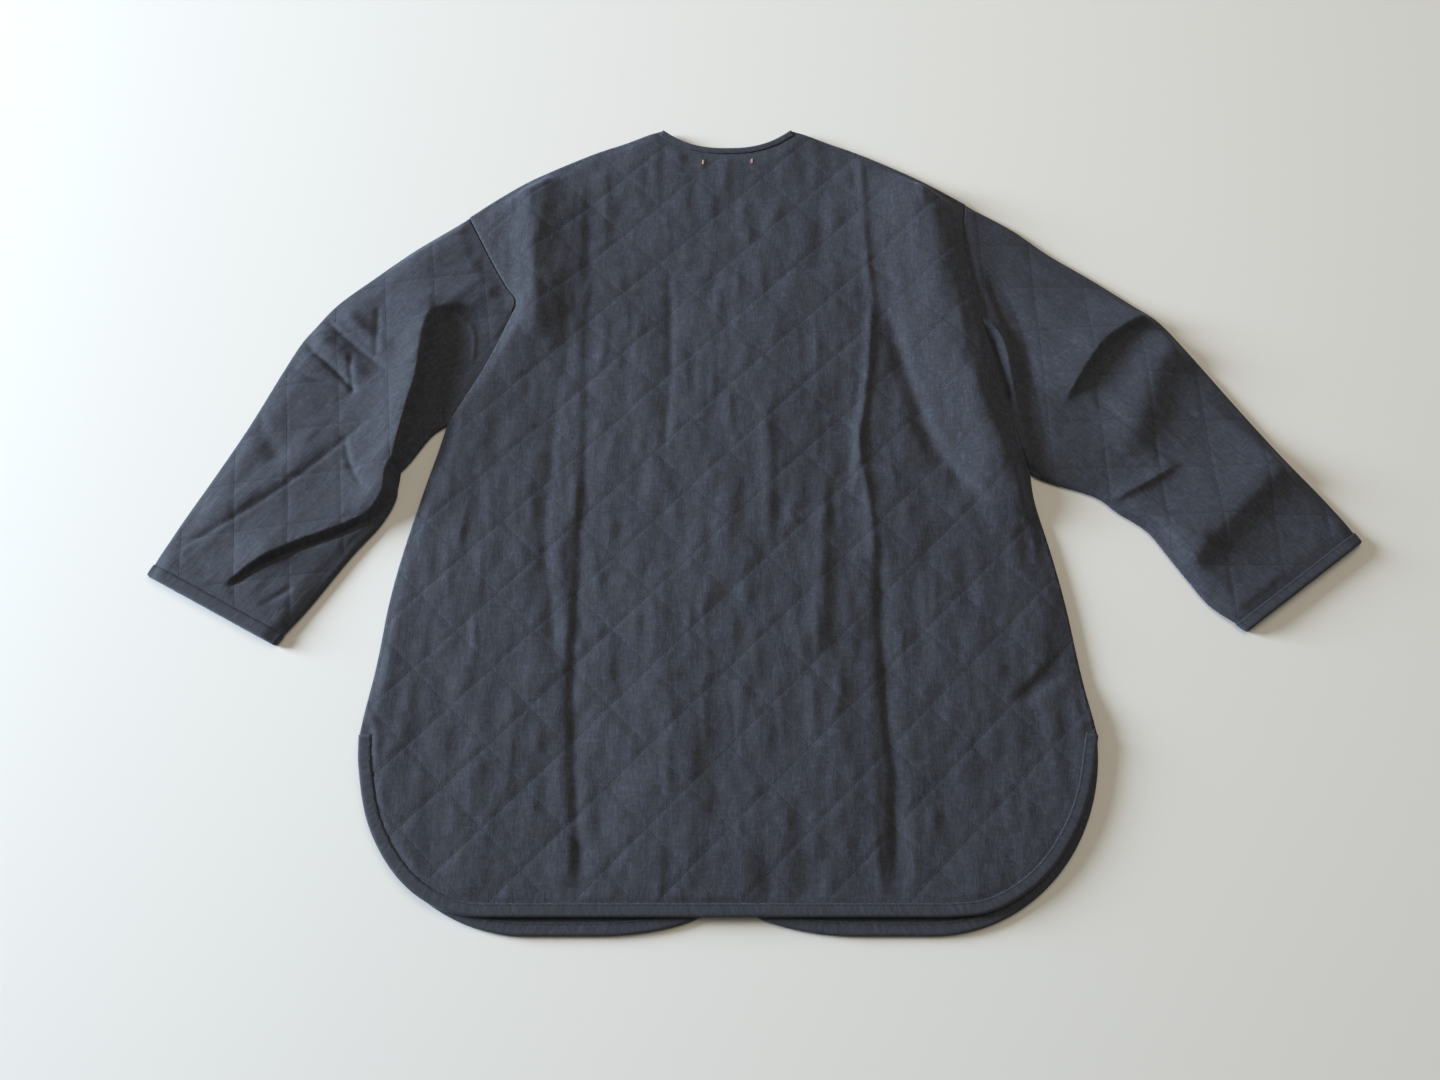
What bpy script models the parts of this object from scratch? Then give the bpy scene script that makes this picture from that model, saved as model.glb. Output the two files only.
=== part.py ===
import bmesh
import bpy
import numpy as np
from mathutils import Vector
from mathutils.geometry import delaunay_2d_cdt

# A collarless quilted coat laid on its front, back uppermost.
# Sizes are in millimetres: x across from the centre back, y up from the back hem, z up from the floor.
MM = 0.001

BACK_LENGTH = 843.0  # nape to back hem
NECK_HALF = 73.0
NECK_DROP = 25.0  # nape below the neck points
NECK_POWER = 2.5
VENT_HALF = 349.0
VENT_HEIGHT = 165.0
FRONT_DROP = 16.0  # fronts below the back hem
FRONT_HEM_ROUND = 166.0
FRONT_CORNER_WIDTH = 117.0
FRONT_CORNER_HEIGHT = 40.0
FRONT_EDGE = 3.0  # front edges from the centre line
FRONT_NECK_DROP = 95.0
FRONT_TAPE_STOP = 18.0  # front binding ends this far below the neck point

CLOTH = 2.4  # quilted cloth where it is stitched down
PUFF = 1.4  # wadding between the stitch lines
DIAMOND = 76.3  # diagonal of a quilting diamond
QUILT_ORIGIN = (0.0, 612.0)
SEAM_GAP = 0.3
TAPE = 0.9
TAPE_WIDTH = 11.0
NECK_TAPE_WIDTH = 7.0
TAPE_FLAT = 13.5  # cloth is plain and level this far in from a bound edge
CUFF_FLAT = 17.0

FRONT_LIFT = SEAM_GAP + TAPE  # room for the binding under a front's edge
BACK_SEAM = CLOTH + SEAM_GAP  # underside of the back at the side and shoulder seams
BACK_LOFT = 5.4
BACK_HEM = 6.6
NECK_LOFT = 5.4
SLEEVE_LOFT = 3.4
MOUTH = 3.4  # opening inside a cuff
EDGE_RING = 4.0
EDGE_WALL = 2.9
OUTLINE_STEP = 14.0
FOLD_STEP = 17.0
CLEAR = 9.0  # inner points stay this far from an outline

# Outlines, from the neck outwards and down: x, y
SHOULDER_RIGHT = ((73, 868), (112, 853), (152, 836), (214, 803), (266, 769))
SHOULDER_LEFT = ((73, 868), (112, 853), (154, 836), (217, 803), (256, 776), (287, 751))
ARMHOLE_RIGHT = ((266, 769), (260, 714), (268, 646), (286, 536), (302, 465), (310, 440))
ARMHOLE_LEFT = ((287, 751), (257, 690), (238, 655), (228, 637), (241, 600), (261, 552), (280, 515),
                (292, 494))
SIDE_RIGHT = ((310, 440), (312, 405), (323, 351), (332, 298), (338, 246), (344, 197), (349, 165))
SIDE_LEFT = ((292, 494), (299, 462), (309, 422), (325, 351), (334, 298), (339, 246), (345, 197), (349, 165))
HEM_RIGHT = ((349, 165), (345, 148), (336, 113), (321, 79), (297, 45), (268, 20), (234, 4), (199, 0))
HEM_LEFT = ((349, 165), (346, 135), (335, 90), (317, 55), (294, 28), (267, 10), (236, 1), (199, 0))
SLEEVE_TOP_RIGHT = ((266, 769), (316, 736), (354, 703), (398, 671), (439, 639), (465, 618),
                    (494, 577), (532, 518), (571, 460), (612, 403), (636, 363))
SLEEVE_TOP_LEFT = ((287, 751), (320, 727), (348, 706), (387, 672), (422, 640), (444, 610), (457, 590),
                   (473, 554), (500, 490), (528, 432), (556, 376), (577, 328))
SLEEVE_UNDER_RIGHT = ((310, 440), (324, 431), (374, 413), (396, 395), (423, 375), (441, 348),
                      (458, 321), (477, 294), (508, 270))
SLEEVE_UNDER_LEFT = ((292, 494), (307, 483), (328, 451), (338, 437), (338, 411), (351, 382), (377, 348),
                     (413, 294), (442, 256))

# Folds: start x, start y, end x, end y, height, width on the left hand, width on the right hand
BACK_FOLDS = (
    (158, 786, 152, 408, 3.2, 6, 9),
    (152, 430, 150, 20, 3.2, 6, 9),
    (-159, 800, -147, 464, -2.2, 10, 10),
    (-147, 480, -135, 20, -2.8, 10, 7),
    (-180, 510, -182, 300, -2.0, 9, 9),
    (-224, 790, -207, 622, 11.5, 31, 27),
    (-208, 648, -286, 482, 4.5, 34, 9),
    (176, 606, 254, 406, -4.6, 10, 14),
    (212, 800, 238, 631, 13.0, 34, 46),
    (234, 656, 274, 450, 13.0, 34, 46),
    (298, 236, 342, 264, -2.0, 8, 8),
    (20, 640, 20, 40, 5.0, 160, 150),
)
SLEEVE_FOLDS_RIGHT = (
    (468, 628, 360, 532, 10.0, 6, 36),
    (584, 466, 466, 352, 9.0, 18, 42),
    (390, 403, 456, 438, 3.4, 13, 5),
    (424, 375, 466, 350, 3.2, 12, 5),
    (482, 598, 412, 474, 7.5, 22, 26),
    (292, 634, 314, 466, -5.0, 9, 8),
    (212, 800, 238, 631, 13.0, 34, 46),
    (234, 656, 274, 450, 13.0, 34, 46),
)
SLEEVE_FOLDS_LEFT = (
    (-342, 424, -404, 378, 6.5, 6, 30),
    (-394, 382, -508, 312, 6.5, 6, 30),
    (-398, 484, -370, 420, -2.0, 7, 7),
    (-420, 448, -562, 348, -2.0, 7, 8),
    (-320, 640, -340, 446, 14.0, 9, 33),
    (-350, 726, -324, 630, 4.0, 60, 36),
    (-326, 630, -236, 626, 5.5, 24, 8),
    (-296, 620, -304, 490, -3.6, 24, 20),
    (-224, 790, -207, 622, 11.5, 31, 27),
    (-452, 586, -392, 536, -2.6, 7, 7),
    (-428, 616, -362, 560, -2.2, 7, 7),
)

CLOTH_COLOR = (0.021, 0.022, 0.030, 1.0)
TAPE_COLOR = (0.018, 0.019, 0.026, 1.0)


def unit(vectors):
    return vectors / np.linalg.norm(vectors, axis=-1, keepdims=True)


def ease(distance, reach):
    t = np.clip(distance / reach, 0.0, 1.0)
    return t * t * (3.0 - 2.0 * t)


def mirrored(path, side):
    return np.asarray(path, float) * (side, 1.0)


def resampled(path, step):
    lengths = np.linalg.norm(np.diff(path, axis=0), axis=1)
    along = np.concatenate([[0.0], np.cumsum(lengths)])
    stops = np.linspace(0.0, along[-1], max(2, round(along[-1] / step) + 1))
    return np.stack([np.interp(stops, along, path[:, k]) for k in (0, 1)], axis=1)


def curve(rows, step=OUTLINE_STEP):
    """A smooth line through the rows, as points about one step apart."""
    rows = np.asarray(rows, float)
    padded = np.vstack([2 * rows[0] - rows[1], rows, 2 * rows[-1] - rows[-2]])
    t = np.linspace(0.0, 1.0, 16, endpoint=False)[:, None]
    pieces = []
    for a, b, c, d in zip(padded, padded[1:], padded[2:], padded[3:]):
        bend = 2 * a - 5 * b + 4 * c - d
        twist = 3 * b - a - 3 * c + d
        pieces.append(0.5 * (2 * b + (c - a) * t + bend * t**2 + twist * t**3))
    return resampled(np.vstack(pieces + [rows[-1:]]), step)


def quarter_round(center, radii, start, end, step):
    angle = np.radians(np.linspace(start, end, 60))
    path = np.stack([center[0] + radii[0] * np.cos(angle), center[1] + radii[1] * np.sin(angle)], axis=1)
    return resampled(path, step)


def joined(*paths):
    """Paths end to end, with each shared point kept once."""
    return np.vstack([paths[0]] + [path[1:] for path in paths[1:]])


def distance(points, path):
    start = path[:-1][None]
    run = np.diff(path, axis=0)[None]
    offset = points[:, None] - start
    t = np.clip((offset * run).sum(-1) / (run**2).sum(-1), 0.0, 1.0)
    return np.linalg.norm(offset - t[..., None] * run, axis=-1).min(axis=1)


def inside(points, outline):
    a = outline
    b = np.roll(outline, -1, axis=0)
    x, y = points[:, 0, None], points[:, 1, None]
    rise = np.where(a[:, 1] == b[:, 1], 1e-9, b[:, 1] - a[:, 1])
    crossed = (a[:, 1] > y) != (b[:, 1] > y)
    left = x < a[:, 0] + (b[:, 0] - a[:, 0]) * (y - a[:, 1]) / rise
    return (crossed & left).sum(axis=1) % 2 == 1


def miters(path, side):
    """Direction into the cloth at each point of an open edge, long enough to keep a strip's width."""
    runs = unit(np.diff(path, axis=0))
    normals = side * np.stack([runs[:, 1], -runs[:, 0]], axis=1)
    before = np.vstack([normals[:1], normals])
    after = np.vstack([normals, normals[-1:]])
    middle = unit(before + after)
    return middle / (middle * before).sum(axis=1, keepdims=True)


def inset(path, side, depth, step):
    fine = resampled(path, step)
    return fine + miters(fine, side) * depth


def back_neck():
    x = np.linspace(-NECK_HALF, NECK_HALF, 15)
    return np.stack([x, BACK_LENGTH + NECK_DROP * np.abs(x / NECK_HALF) ** NECK_POWER], axis=1)


def back_hem():
    """From the right vent round to the left vent."""
    right = curve(HEM_RIGHT)
    left = mirrored(curve(HEM_LEFT), -1)
    flat = resampled(np.array([right[-1], left[-1]]), 2 * OUTLINE_STEP)
    return joined(right, flat, left[::-1])


def front_bound_edge():
    """A right front's bound edge: vent, hem, centre corner, front edge, neck, to short of the neck point."""
    low = VENT_HEIGHT + FRONT_DROP
    hem_center = (VENT_HALF - FRONT_HEM_ROUND, VENT_HEIGHT)
    hem = quarter_round(hem_center, (FRONT_HEM_ROUND, low), 0, -90, OUTLINE_STEP)
    corner_x = FRONT_EDGE + FRONT_CORNER_WIDTH
    corner_y = FRONT_CORNER_HEIGHT - FRONT_DROP
    corner = quarter_round((corner_x, corner_y), (FRONT_CORNER_WIDTH, FRONT_CORNER_HEIGHT), -90, -180, 9.0)
    neck_y = BACK_LENGTH + NECK_DROP - FRONT_NECK_DROP
    neck_width = NECK_HALF - FRONT_EDGE
    neck = quarter_round((FRONT_EDGE, neck_y + FRONT_NECK_DROP), (neck_width, FRONT_NECK_DROP), -88, 0, 1.0)
    neck = neck[neck[:, 1] < BACK_LENGTH + NECK_DROP - FRONT_TAPE_STOP]
    neck = resampled(np.vstack([[(FRONT_EDGE, neck_y)], neck]), 12.0)
    edge = resampled(np.array([corner[-1], neck[0]]), 90.0)
    return joined(resampled(hem, OUTLINE_STEP), np.array([hem[-1], corner[0]]), corner, edge, neck)


def quilt_grid(origin, angle, reach):
    """Quilting points a quarter diamond apart, and the stitched lines between them as pairs of points."""
    count = int(reach / (DIAMOND / 4))
    turn = np.array([[np.cos(angle), np.sin(angle)], [-np.sin(angle), np.cos(angle)]])
    number = {}
    points = []
    for i in range(-count, count + 1):
        for j in range(-count, count + 1):
            number[i, j] = len(points)
            points.append((i * DIAMOND / 4, j * DIAMOND / 4))
    lines = []
    for step in (-1, 1):
        lines += [(k, number[i + 1, j + step]) for (i, j), k in number.items()
                  if (i - step * j) % 4 == 0 and (i + 1, j + step) in number]
    return np.array(points) @ turn + origin, lines


def quilting(points, origin, angle):
    """0 on a stitched line, 1 in the middle of a diamond."""
    turn = np.array([[np.cos(angle), -np.sin(angle)], [np.sin(angle), np.cos(angle)]])
    local = (points - origin) @ turn
    one = np.abs(np.sin(np.pi * (local[:, 0] + local[:, 1]) / DIAMOND))
    two = np.abs(np.sin(np.pi * (local[:, 0] - local[:, 1]) / DIAMOND))
    return (one * two) ** 0.6


def fold_heights(points, folds):
    total = np.zeros(len(points))
    for x0, y0, x1, y1, height, left, right in folds:
        start = np.array([x0, y0], float)
        run = np.array([x1 - x0, y1 - y0], float)
        length = np.linalg.norm(run)
        run /= length
        along = (points - start) @ run / length
        across = (points - start) @ np.array([-run[1], run[0]])
        width = np.where(across > 0, left, right)
        total += height * np.exp(-((across / width) ** 2)) * ease(along + 0.06, 0.2) * ease(1.06 - along, 0.2)
    return total


def fold_points(folds):
    """Points along each fold and beside it, and the folds' own lines as pairs of points."""
    points = []
    lines = []
    for x0, y0, x1, y1, _, left, right in folds:
        start = np.array([x0, y0], float)
        run = np.array([x1 - x0, y1 - y0], float)
        count = max(3, round(np.linalg.norm(run) / FOLD_STEP))
        side = np.array([-run[1], run[0]]) / np.linalg.norm(run)
        line = start + np.linspace(0.0, 1.0, count)[:, None] * run
        first = sum(map(len, points))
        lines += chain(first, count)
        points += [line, line + side * left * 1.3, line - side * right * 1.3]
    return np.vstack(points), lines


def spread(sets, outline, spacing):
    """Points of the sets in turn, without those outside, near the outline or near a point already kept."""
    kept = np.empty((0, 2))
    numbers = []
    rim = np.vstack([outline, outline[:1]])
    for points, margin in sets:
        good = inside(points, outline)
        good[good] = distance(points[good], rim) > margin
        chosen = []
        for k in np.flatnonzero(good):
            near = np.vstack([kept, points[chosen]])
            if len(near) == 0 or np.linalg.norm(near - points[k], axis=1).min() > spacing:
                chosen.append(k)
        numbers.append({k: len(kept) + n for n, k in enumerate(chosen)})
        kept = np.vstack([kept, points[chosen]])
    return kept, numbers


def chain(first, count):
    return [(first + k, first + k + 1) for k in range(count - 1)]


def kept_lines(lines, numbers):
    return [(numbers[a], numbers[b]) for a, b in lines if a in numbers and b in numbers]


def clear_of(lines, points, folds):
    """The lines whose middle is well away from every fold."""
    if not lines:
        return lines
    middle = np.array([(points[a] + points[b]) / 2 for a, b in lines])
    near = np.full(len(lines), np.inf)
    for row in folds:
        near = np.minimum(near, distance(middle, np.array(row[:4], float).reshape(2, 2)))
    return [line for line, gap in zip(lines, near) if gap > FOLD_STEP]


def triangulated(outline, points, lines):
    """The points inside the outline, with any where lines cross, and the triangles between them all."""
    count = len(outline)
    every = [Vector(p) for p in np.vstack([outline, points])]
    rim = [(k, (k + 1) % count) for k in range(count)]
    made = delaunay_2d_cdt(every, rim + [(a + count, b + count) for a, b in lines], [], 1, 1e-4)
    order = []
    inner = []
    for place, sources in zip(made[0], made[3]):
        on_rim = [k for k in sources if k < count]
        order.append(on_rim[0] if on_rim else count + len(inner))
        if not on_rim:
            inner.append(tuple(place))
    return np.array(inner), [tuple(order[k] for k in face) for face in made[2]]


def skin(bm, rim, outline, points, lines, height):
    """One side of a wall: its rim vertices are shared, the rest are made here."""
    inner, faces = triangulated(outline, points, lines)
    verts = list(rim) + new_verts(bm, inner, height(inner))
    for face in faces:
        bm.faces.new([verts[k] for k in face])


def new_verts(bm, points, heights):
    return [bm.verts.new((x, y, z)) for (x, y), z in zip(points, heights)]


def finished(name, bm, material):
    bmesh.ops.recalc_face_normals(bm, faces=bm.faces[:])
    if bm.calc_volume(signed=True) < 0:
        bmesh.ops.reverse_faces(bm, faces=bm.faces[:])
    bmesh.ops.scale(bm, vec=(MM, MM, MM), verts=bm.verts[:])
    mesh = bpy.data.meshes.new(name)
    bm.to_mesh(mesh)
    bm.free()
    mesh.materials.append(material)
    obj = bpy.data.objects.new(name, mesh)
    coat.objects.link(obj)
    return obj


def sheet(name, outline, upper, lower, low, high, material):
    """A panel: a plain inside and an outside with its own points and lines, joined round the outline."""
    bm = bmesh.new()
    under = new_verts(bm, outline, low(outline))
    over = new_verts(bm, outline, high(outline))
    skin(bm, under, outline, *lower, low)
    skin(bm, over, outline, *upper, high)
    for k in range(len(outline)):
        n = (k + 1) % len(outline)
        bm.faces.new((under[k], under[n], over[n], over[k]))
    return finished(name, bm, material)


def strip(name, rings, closed, material):
    """Rings of section points joined in turn, with ends unless the strip is closed."""
    bm = bmesh.new()
    verts = [[bm.verts.new(p) for p in ring] for ring in rings]
    count = len(rings[0])
    for k in range(len(rings) if closed else len(rings) - 1):
        one = verts[k]
        two = verts[(k + 1) % len(rings)]
        for m in range(count):
            bm.faces.new((one[m], one[(m + 1) % count], two[(m + 1) % count], two[m]))
    if not closed:
        bm.faces.new(verts[0])
        bm.faces.new(verts[-1])
    return finished(name, bm, material)


def tape_section(width):
    """A strip folded round an edge of cloth: distance into the cloth, height from the middle of the cloth."""
    inner = CLOTH / 2 + SEAM_GAP
    outer = inner + TAPE
    front = -SEAM_GAP - TAPE
    return np.array([
        (width, inner), (width, outer), (front, outer), (front, -outer),
        (width, -outer), (width, -inner), (-SEAM_GAP, -inner), (-SEAM_GAP, inner),
    ])


def binding(name, path, side, under, width):
    """The folded strip along a panel's edge; under gives the height of the panel's underside there."""
    section = tape_section(width)
    inward = miters(path, side)
    level = under(path) + CLOTH / 2
    rings = [
        [(*(point + into * deep), middle + up) for deep, up in section]
        for point, into, middle in zip(path, inward, level)
    ]
    return strip(name, rings, False, tape_cloth)


def build_back():
    neck = back_neck()
    shoulders = [curve(SHOULDER_RIGHT), mirrored(curve(SHOULDER_LEFT), -1)]
    armholes = [curve(ARMHOLE_RIGHT), mirrored(curve(ARMHOLE_LEFT), -1)]
    sides = [curve(SIDE_RIGHT), mirrored(curve(SIDE_LEFT), -1)]
    hem = back_hem()
    right = joined(neck, shoulders[0], armholes[0], sides[0], hem)
    left = joined(sides[1][::-1], armholes[1][::-1], shoulders[1][::-1])
    outline = joined(right, left)[:-1]

    def low(points):
        seam = np.minimum.reduce([distance(points, path) for path in shoulders + sides])
        to_hem = distance(points, hem)
        to_neck = distance(points, neck)
        bound = np.minimum(to_hem, to_neck)
        height = BACK_SEAM + (BACK_LOFT - BACK_SEAM) * ease(seam, 45.0)
        free = ease(np.minimum(bound - TAPE_FLAT, seam), 24.0)
        height = np.maximum(height + free * fold_heights(points, BACK_FOLDS), BACK_SEAM)
        at_hem = 1.0 - ease(to_hem - TAPE_FLAT, 50.0)
        at_neck = 1.0 - ease(to_neck - TAPE_FLAT, 40.0)
        height = height + at_hem * (BACK_HEM - height)
        return height + at_neck * (NECK_LOFT - height)

    def high(points):
        seam = np.minimum.reduce([distance(points, path) for path in shoulders + armholes + sides])
        bound = np.minimum(distance(points, hem), distance(points, neck))
        free = ease(np.minimum(bound - TAPE_FLAT, seam - 2.0), 9.0)
        puff = PUFF * quilting(points, QUILT_ORIGIN, 0.0) * free
        rolled = 0.7 * (1.0 - ease(seam, EDGE_RING)) * ease(bound - TAPE_FLAT, 9.0)
        return low(points) + CLOTH + puff - rolled

    level = inset(hem, 1, TAPE_FLAT, OUTLINE_STEP)
    neck_level = inset(neck, 1, TAPE_FLAT, OUTLINE_STEP)[1:-1]
    roll = [path + miters(path, 1) * EDGE_RING * 1.2 for path in (shoulders[0], armholes[0], sides[0])]
    roll += [path + miters(path, -1) * EDGE_RING * 1.2 for path in (shoulders[1], armholes[1], sides[1])]
    grid, lines = quilt_grid(QUILT_ORIGIN, 0.0, 700.0)
    bound = np.vstack([level, neck_level])
    seams = np.vstack(roll)
    folded, ridges = fold_points(BACK_FOLDS)
    upper, numbers = spread([(bound, 3.0), (seams, 3.0), (folded, CLEAR), (grid, CLEAR)], outline, 7.0)
    stitched = clear_of(kept_lines(lines, numbers[3]), upper, BACK_FOLDS)
    plain_sets = [(bound, 3.0), (seams[::2], 3.0), (folded, CLEAR), (grid[::5], CLEAR)]
    lower, low_numbers = spread(plain_sets, outline, 9.0)
    levels = chain(0, len(level)) + chain(len(level), len(neck_level))
    outside = (upper, stitched + kept_lines(ridges, numbers[2]) + kept_lines(levels, numbers[0]))
    inside_face = (lower, kept_lines(ridges, low_numbers[2]) + kept_lines(levels, low_numbers[0]))
    sheet("back_panel", outline, outside, inside_face, low, high, quilted_cloth)
    binding("back_hem_binding", hem, 1, low, TAPE_WIDTH)
    binding("neck_binding", neck, 1, low, NECK_TAPE_WIDTH)
    return armholes


def build_front(name, side, shoulder_rows, armhole_rows, side_rows):
    bound = front_bound_edge()
    neck_point = np.array([[NECK_HALF, BACK_LENGTH + NECK_DROP]])
    shoulder = curve(shoulder_rows, 40.0)
    armhole = curve(armhole_rows)
    seam = curve(side_rows, 40.0)
    around = joined(bound, np.vstack([bound[-1:], neck_point]), shoulder, armhole, seam)[:-1]
    outline = mirrored(around, side)
    edge = mirrored(bound, side)

    def low(points):
        return FRONT_LIFT * (1.0 - ease(distance(points, edge) - TAPE_FLAT, 25.0))

    def high(points):
        return low(points) + CLOTH

    level = inset(edge, side, TAPE_FLAT, 24.0)
    ease_off = inset(edge, side, 40.0, 40.0)
    grid, _ = quilt_grid(QUILT_ORIGIN, 0.0, 700.0)
    plain, _ = spread([(ease_off, CLEAR), (grid[::7], CLEAR)], outline, 30.0)
    level, _ = spread([(level, 6.0), (plain, CLEAR)], outline, 9.0)
    sheet(name, outline, (level, []), (level, []), low, high, quilted_cloth)
    binding(name + "_binding", edge, side, low, TAPE_WIDTH)


def build_sleeve(name, side, armhole, top_rows, under_rows, folds):
    open_end = armhole + miters(armhole, -side) * SEAM_GAP
    top = mirrored(curve(top_rows), side)
    under = mirrored(curve(under_rows), side)
    top[0] = open_end[0]
    under[0] = open_end[-1]
    cuff = cuff_edge(under[-1], top[-1])
    outline = joined(open_end, under, cuff, top[::-1])[:-1]
    first_fold = len(open_end) - 1
    last_fold = first_fold + len(under) - 1
    next_fold = last_fold + len(cuff) - 1
    folded = [k for k in range(len(outline)) if first_fold <= k <= last_fold or k >= next_fold or k == 0]
    axis = cuff.mean(axis=0) - open_end.mean(axis=0)
    angle = np.arctan2(axis[1], axis[0])
    center = open_end.mean(axis=0)

    def at_cuff(points):
        return 1.0 - ease(distance(points, cuff) - CUFF_FLAT, 28.0)

    def under_out(points):
        return FRONT_LIFT * at_cuff(points)

    def under_in(points):
        return under_out(points) + CLOTH

    def top_in(points):
        fold = np.minimum(distance(points, top), distance(points, under))
        armhole_near = 1.0 - ease(distance(points, open_end), 30.0)
        free = ease(np.minimum(fold - EDGE_RING, distance(points, cuff) - CUFF_FLAT), 18.0)
        loft = SLEEVE_LOFT * ease(fold, 26.0)
        loft = loft + armhole_near * ease(fold, 12.0) * (BACK_LOFT - CLOTH - loft)
        height = np.maximum(loft + free * fold_heights(points, folds), 0.0)
        mouth = MOUTH * ease(fold, EDGE_RING * 0.98)
        pressed = mouth - SEAM_GAP * ease(fold, 3.0)
        return under_in(points) + SEAM_GAP + height + at_cuff(points) * (pressed - height)

    def top_out(points):
        edges = np.minimum(distance(points, top), distance(points, under))
        near = np.minimum(edges - EDGE_RING, distance(points, cuff) - CUFF_FLAT)
        near = np.minimum(near, distance(points, open_end) - EDGE_RING)
        return top_in(points) + CLOTH + PUFF * quilting(points, center, angle) * ease(near, 10.0)

    def edge_height(points):
        low = (2 * CLOTH + SEAM_GAP) / 2
        return low + at_cuff(points) * (FRONT_LIFT + CLOTH + MOUTH / 2 - low)

    rings = [top + miters(top, side) * EDGE_RING, under + miters(under, -side) * EDGE_RING]
    cuff_level = cuff + unit(center - cuff.mean(axis=0)) * CUFF_FLAT
    cap = open_end + miters(open_end, -side) * EDGE_RING * 1.2
    grid, lines = quilt_grid(center, angle, 620.0)
    near_rim = np.vstack(rings + [cuff_level, cap])
    levels = chain(len(top) + len(under), len(cuff_level))
    creased, ridges = fold_points(folds)
    upper, numbers = spread([(near_rim, 2.6), (creased, CLEAR), (grid, CLEAR)], outline, 6.5)
    stitched = clear_of(kept_lines(lines, numbers[2]), upper, folds)
    stitched += kept_lines(ridges, numbers[1]) + kept_lines(levels, numbers[0])
    inner, inner_numbers = spread([(near_rim, 2.6), (creased, CLEAR), (grid[::5], CLEAR)], outline, 8.0)
    flat, flat_numbers = spread([(near_rim, 2.6), (grid[::9], CLEAR)], outline, 9.0)

    fold_set = set(folded)
    is_fold = np.array([k in fold_set for k in range(len(outline))])
    into = np.zeros_like(outline)
    center_line = [(top, miters(top, side)), (under, miters(under, -side))]
    for k in folded:
        gaps = [np.linalg.norm(path - outline[k], axis=1) for path, _ in center_line]
        path_number = int(np.argmin([gap.min() for gap in gaps]))
        into[k] = center_line[path_number][1][int(np.argmin(gaps[path_number]))]
    into[0] = unit(open_end[1] - open_end[0])
    into[first_fold] = unit(open_end[-2] - open_end[-1])
    into[last_fold] = unit(cuff[1] - cuff[0])
    into[next_fold] = unit(cuff[-2] - cuff[-1])
    inner_rim = outline + into * EDGE_WALL

    bm = bmesh.new()
    fold_z = edge_height(outline)
    top_outer = new_verts(bm, outline, np.where(is_fold, fold_z, top_out(outline)))
    top_inner = new_verts(bm, inner_rim, np.where(is_fold, fold_z, top_in(outline)))
    bottom_outer = [v if f else bm.verts.new((x, y, z))
                    for v, f, (x, y), z in zip(top_outer, is_fold, outline, under_out(outline))]
    bottom_inner = [v if f else bm.verts.new((x, y, z))
                    for v, f, (x, y), z in zip(top_inner, is_fold, outline, under_in(outline))]
    skin(bm, top_outer, outline, upper, stitched, top_out)
    inner_lines = kept_lines(ridges, inner_numbers[1]) + kept_lines(levels, inner_numbers[0])
    skin(bm, top_inner, outline, inner, inner_lines, top_in)
    skin(bm, bottom_outer, outline, flat, kept_lines(levels, flat_numbers[0]), under_out)
    skin(bm, bottom_inner, outline, flat, kept_lines(levels, flat_numbers[0]), under_in)
    ends = list(range(0, first_fold)) + list(range(last_fold, next_fold))
    for k in ends:
        n = (k + 1) % len(outline)
        bm.faces.new((top_inner[k], top_inner[n], top_outer[n], top_outer[k]))
        bm.faces.new((bottom_inner[k], bottom_inner[n], bottom_outer[n], bottom_outer[k]))
    finished(name, bm, quilted_cloth)
    build_cuff(name.replace("sleeve", "cuff_binding"), top, under, side)


def cuff_edge(start, end):
    width = np.linalg.norm(end - start)
    stops = np.concatenate([[0.0], np.linspace(EDGE_RING, width - EDGE_RING, 10), [width]])
    return start + stops[:, None] * (end - start) / width


def build_cuff(name, top, under, side):
    """The strip folded round the flattened end of a sleeve."""
    corners = np.array([under[-1], top[-1]])
    back = [path[-1] - unit(path[-1] - path[-2]) * TAPE_WIDTH for path in (under, top)]
    across = unit(corners[1] - corners[0])
    square = np.array([-across[1], across[0]])
    square *= np.sign(square @ (back[0] - corners[0]))
    leans = [(b - c) / ((b - c) @ square) for b, c in zip(back, corners)]
    width = np.linalg.norm(corners[1] - corners[0])
    middle = FRONT_LIFT + CLOTH + MOUTH / 2
    half = MOUTH / 2 + CLOTH / 2
    inset = EDGE_RING
    stops = np.linspace(inset, width - inset, 10)
    tip = CLOTH / 2
    loop = [(s, middle - half) for s in stops] + [(width - tip, middle)]
    loop += [(s, middle + half) for s in stops[::-1]] + [(tip, middle)]
    loop = np.array(loop)
    ring = np.vstack([loop[-1:], loop, loop[:1]])
    out = miters(ring, 1)[1:-1]
    section = tape_section(TAPE_WIDTH)
    rings = []
    for (s, z), (ds, dz) in zip(loop, out):
        lean = leans[0] + (leans[1] - leans[0]) * s / width
        points = []
        for deep, up in section:
            flat = corners[0] + across * (s + ds * up) + lean * deep
            points.append((flat[0], flat[1], z + dz * up))
        rings.append(points)
    strip(name, rings, True, tape_cloth)


def cloth_material(name, color):
    material = bpy.data.materials.new(name)
    material.use_nodes = True
    shader = material.node_tree.nodes["Principled BSDF"]
    shader.inputs["Base Color"].default_value = color
    shader.inputs["Roughness"].default_value = 0.9
    return material


def set_down():
    """Puts the coat's box centre over the origin and its underside on the floor."""
    corners = np.array([v.co[:] for obj in coat.objects for v in obj.data.vertices])
    low = corners.min(axis=0)
    high = corners.max(axis=0)
    floor = bpy.data.objects.new("coat_on_floor", None)
    floor.location = (-(low[0] + high[0]) / 2, -(low[1] + high[1]) / 2, -low[2])
    parts = list(coat.objects)
    coat.objects.link(floor)
    for obj in parts:
        obj.parent = floor


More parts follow.
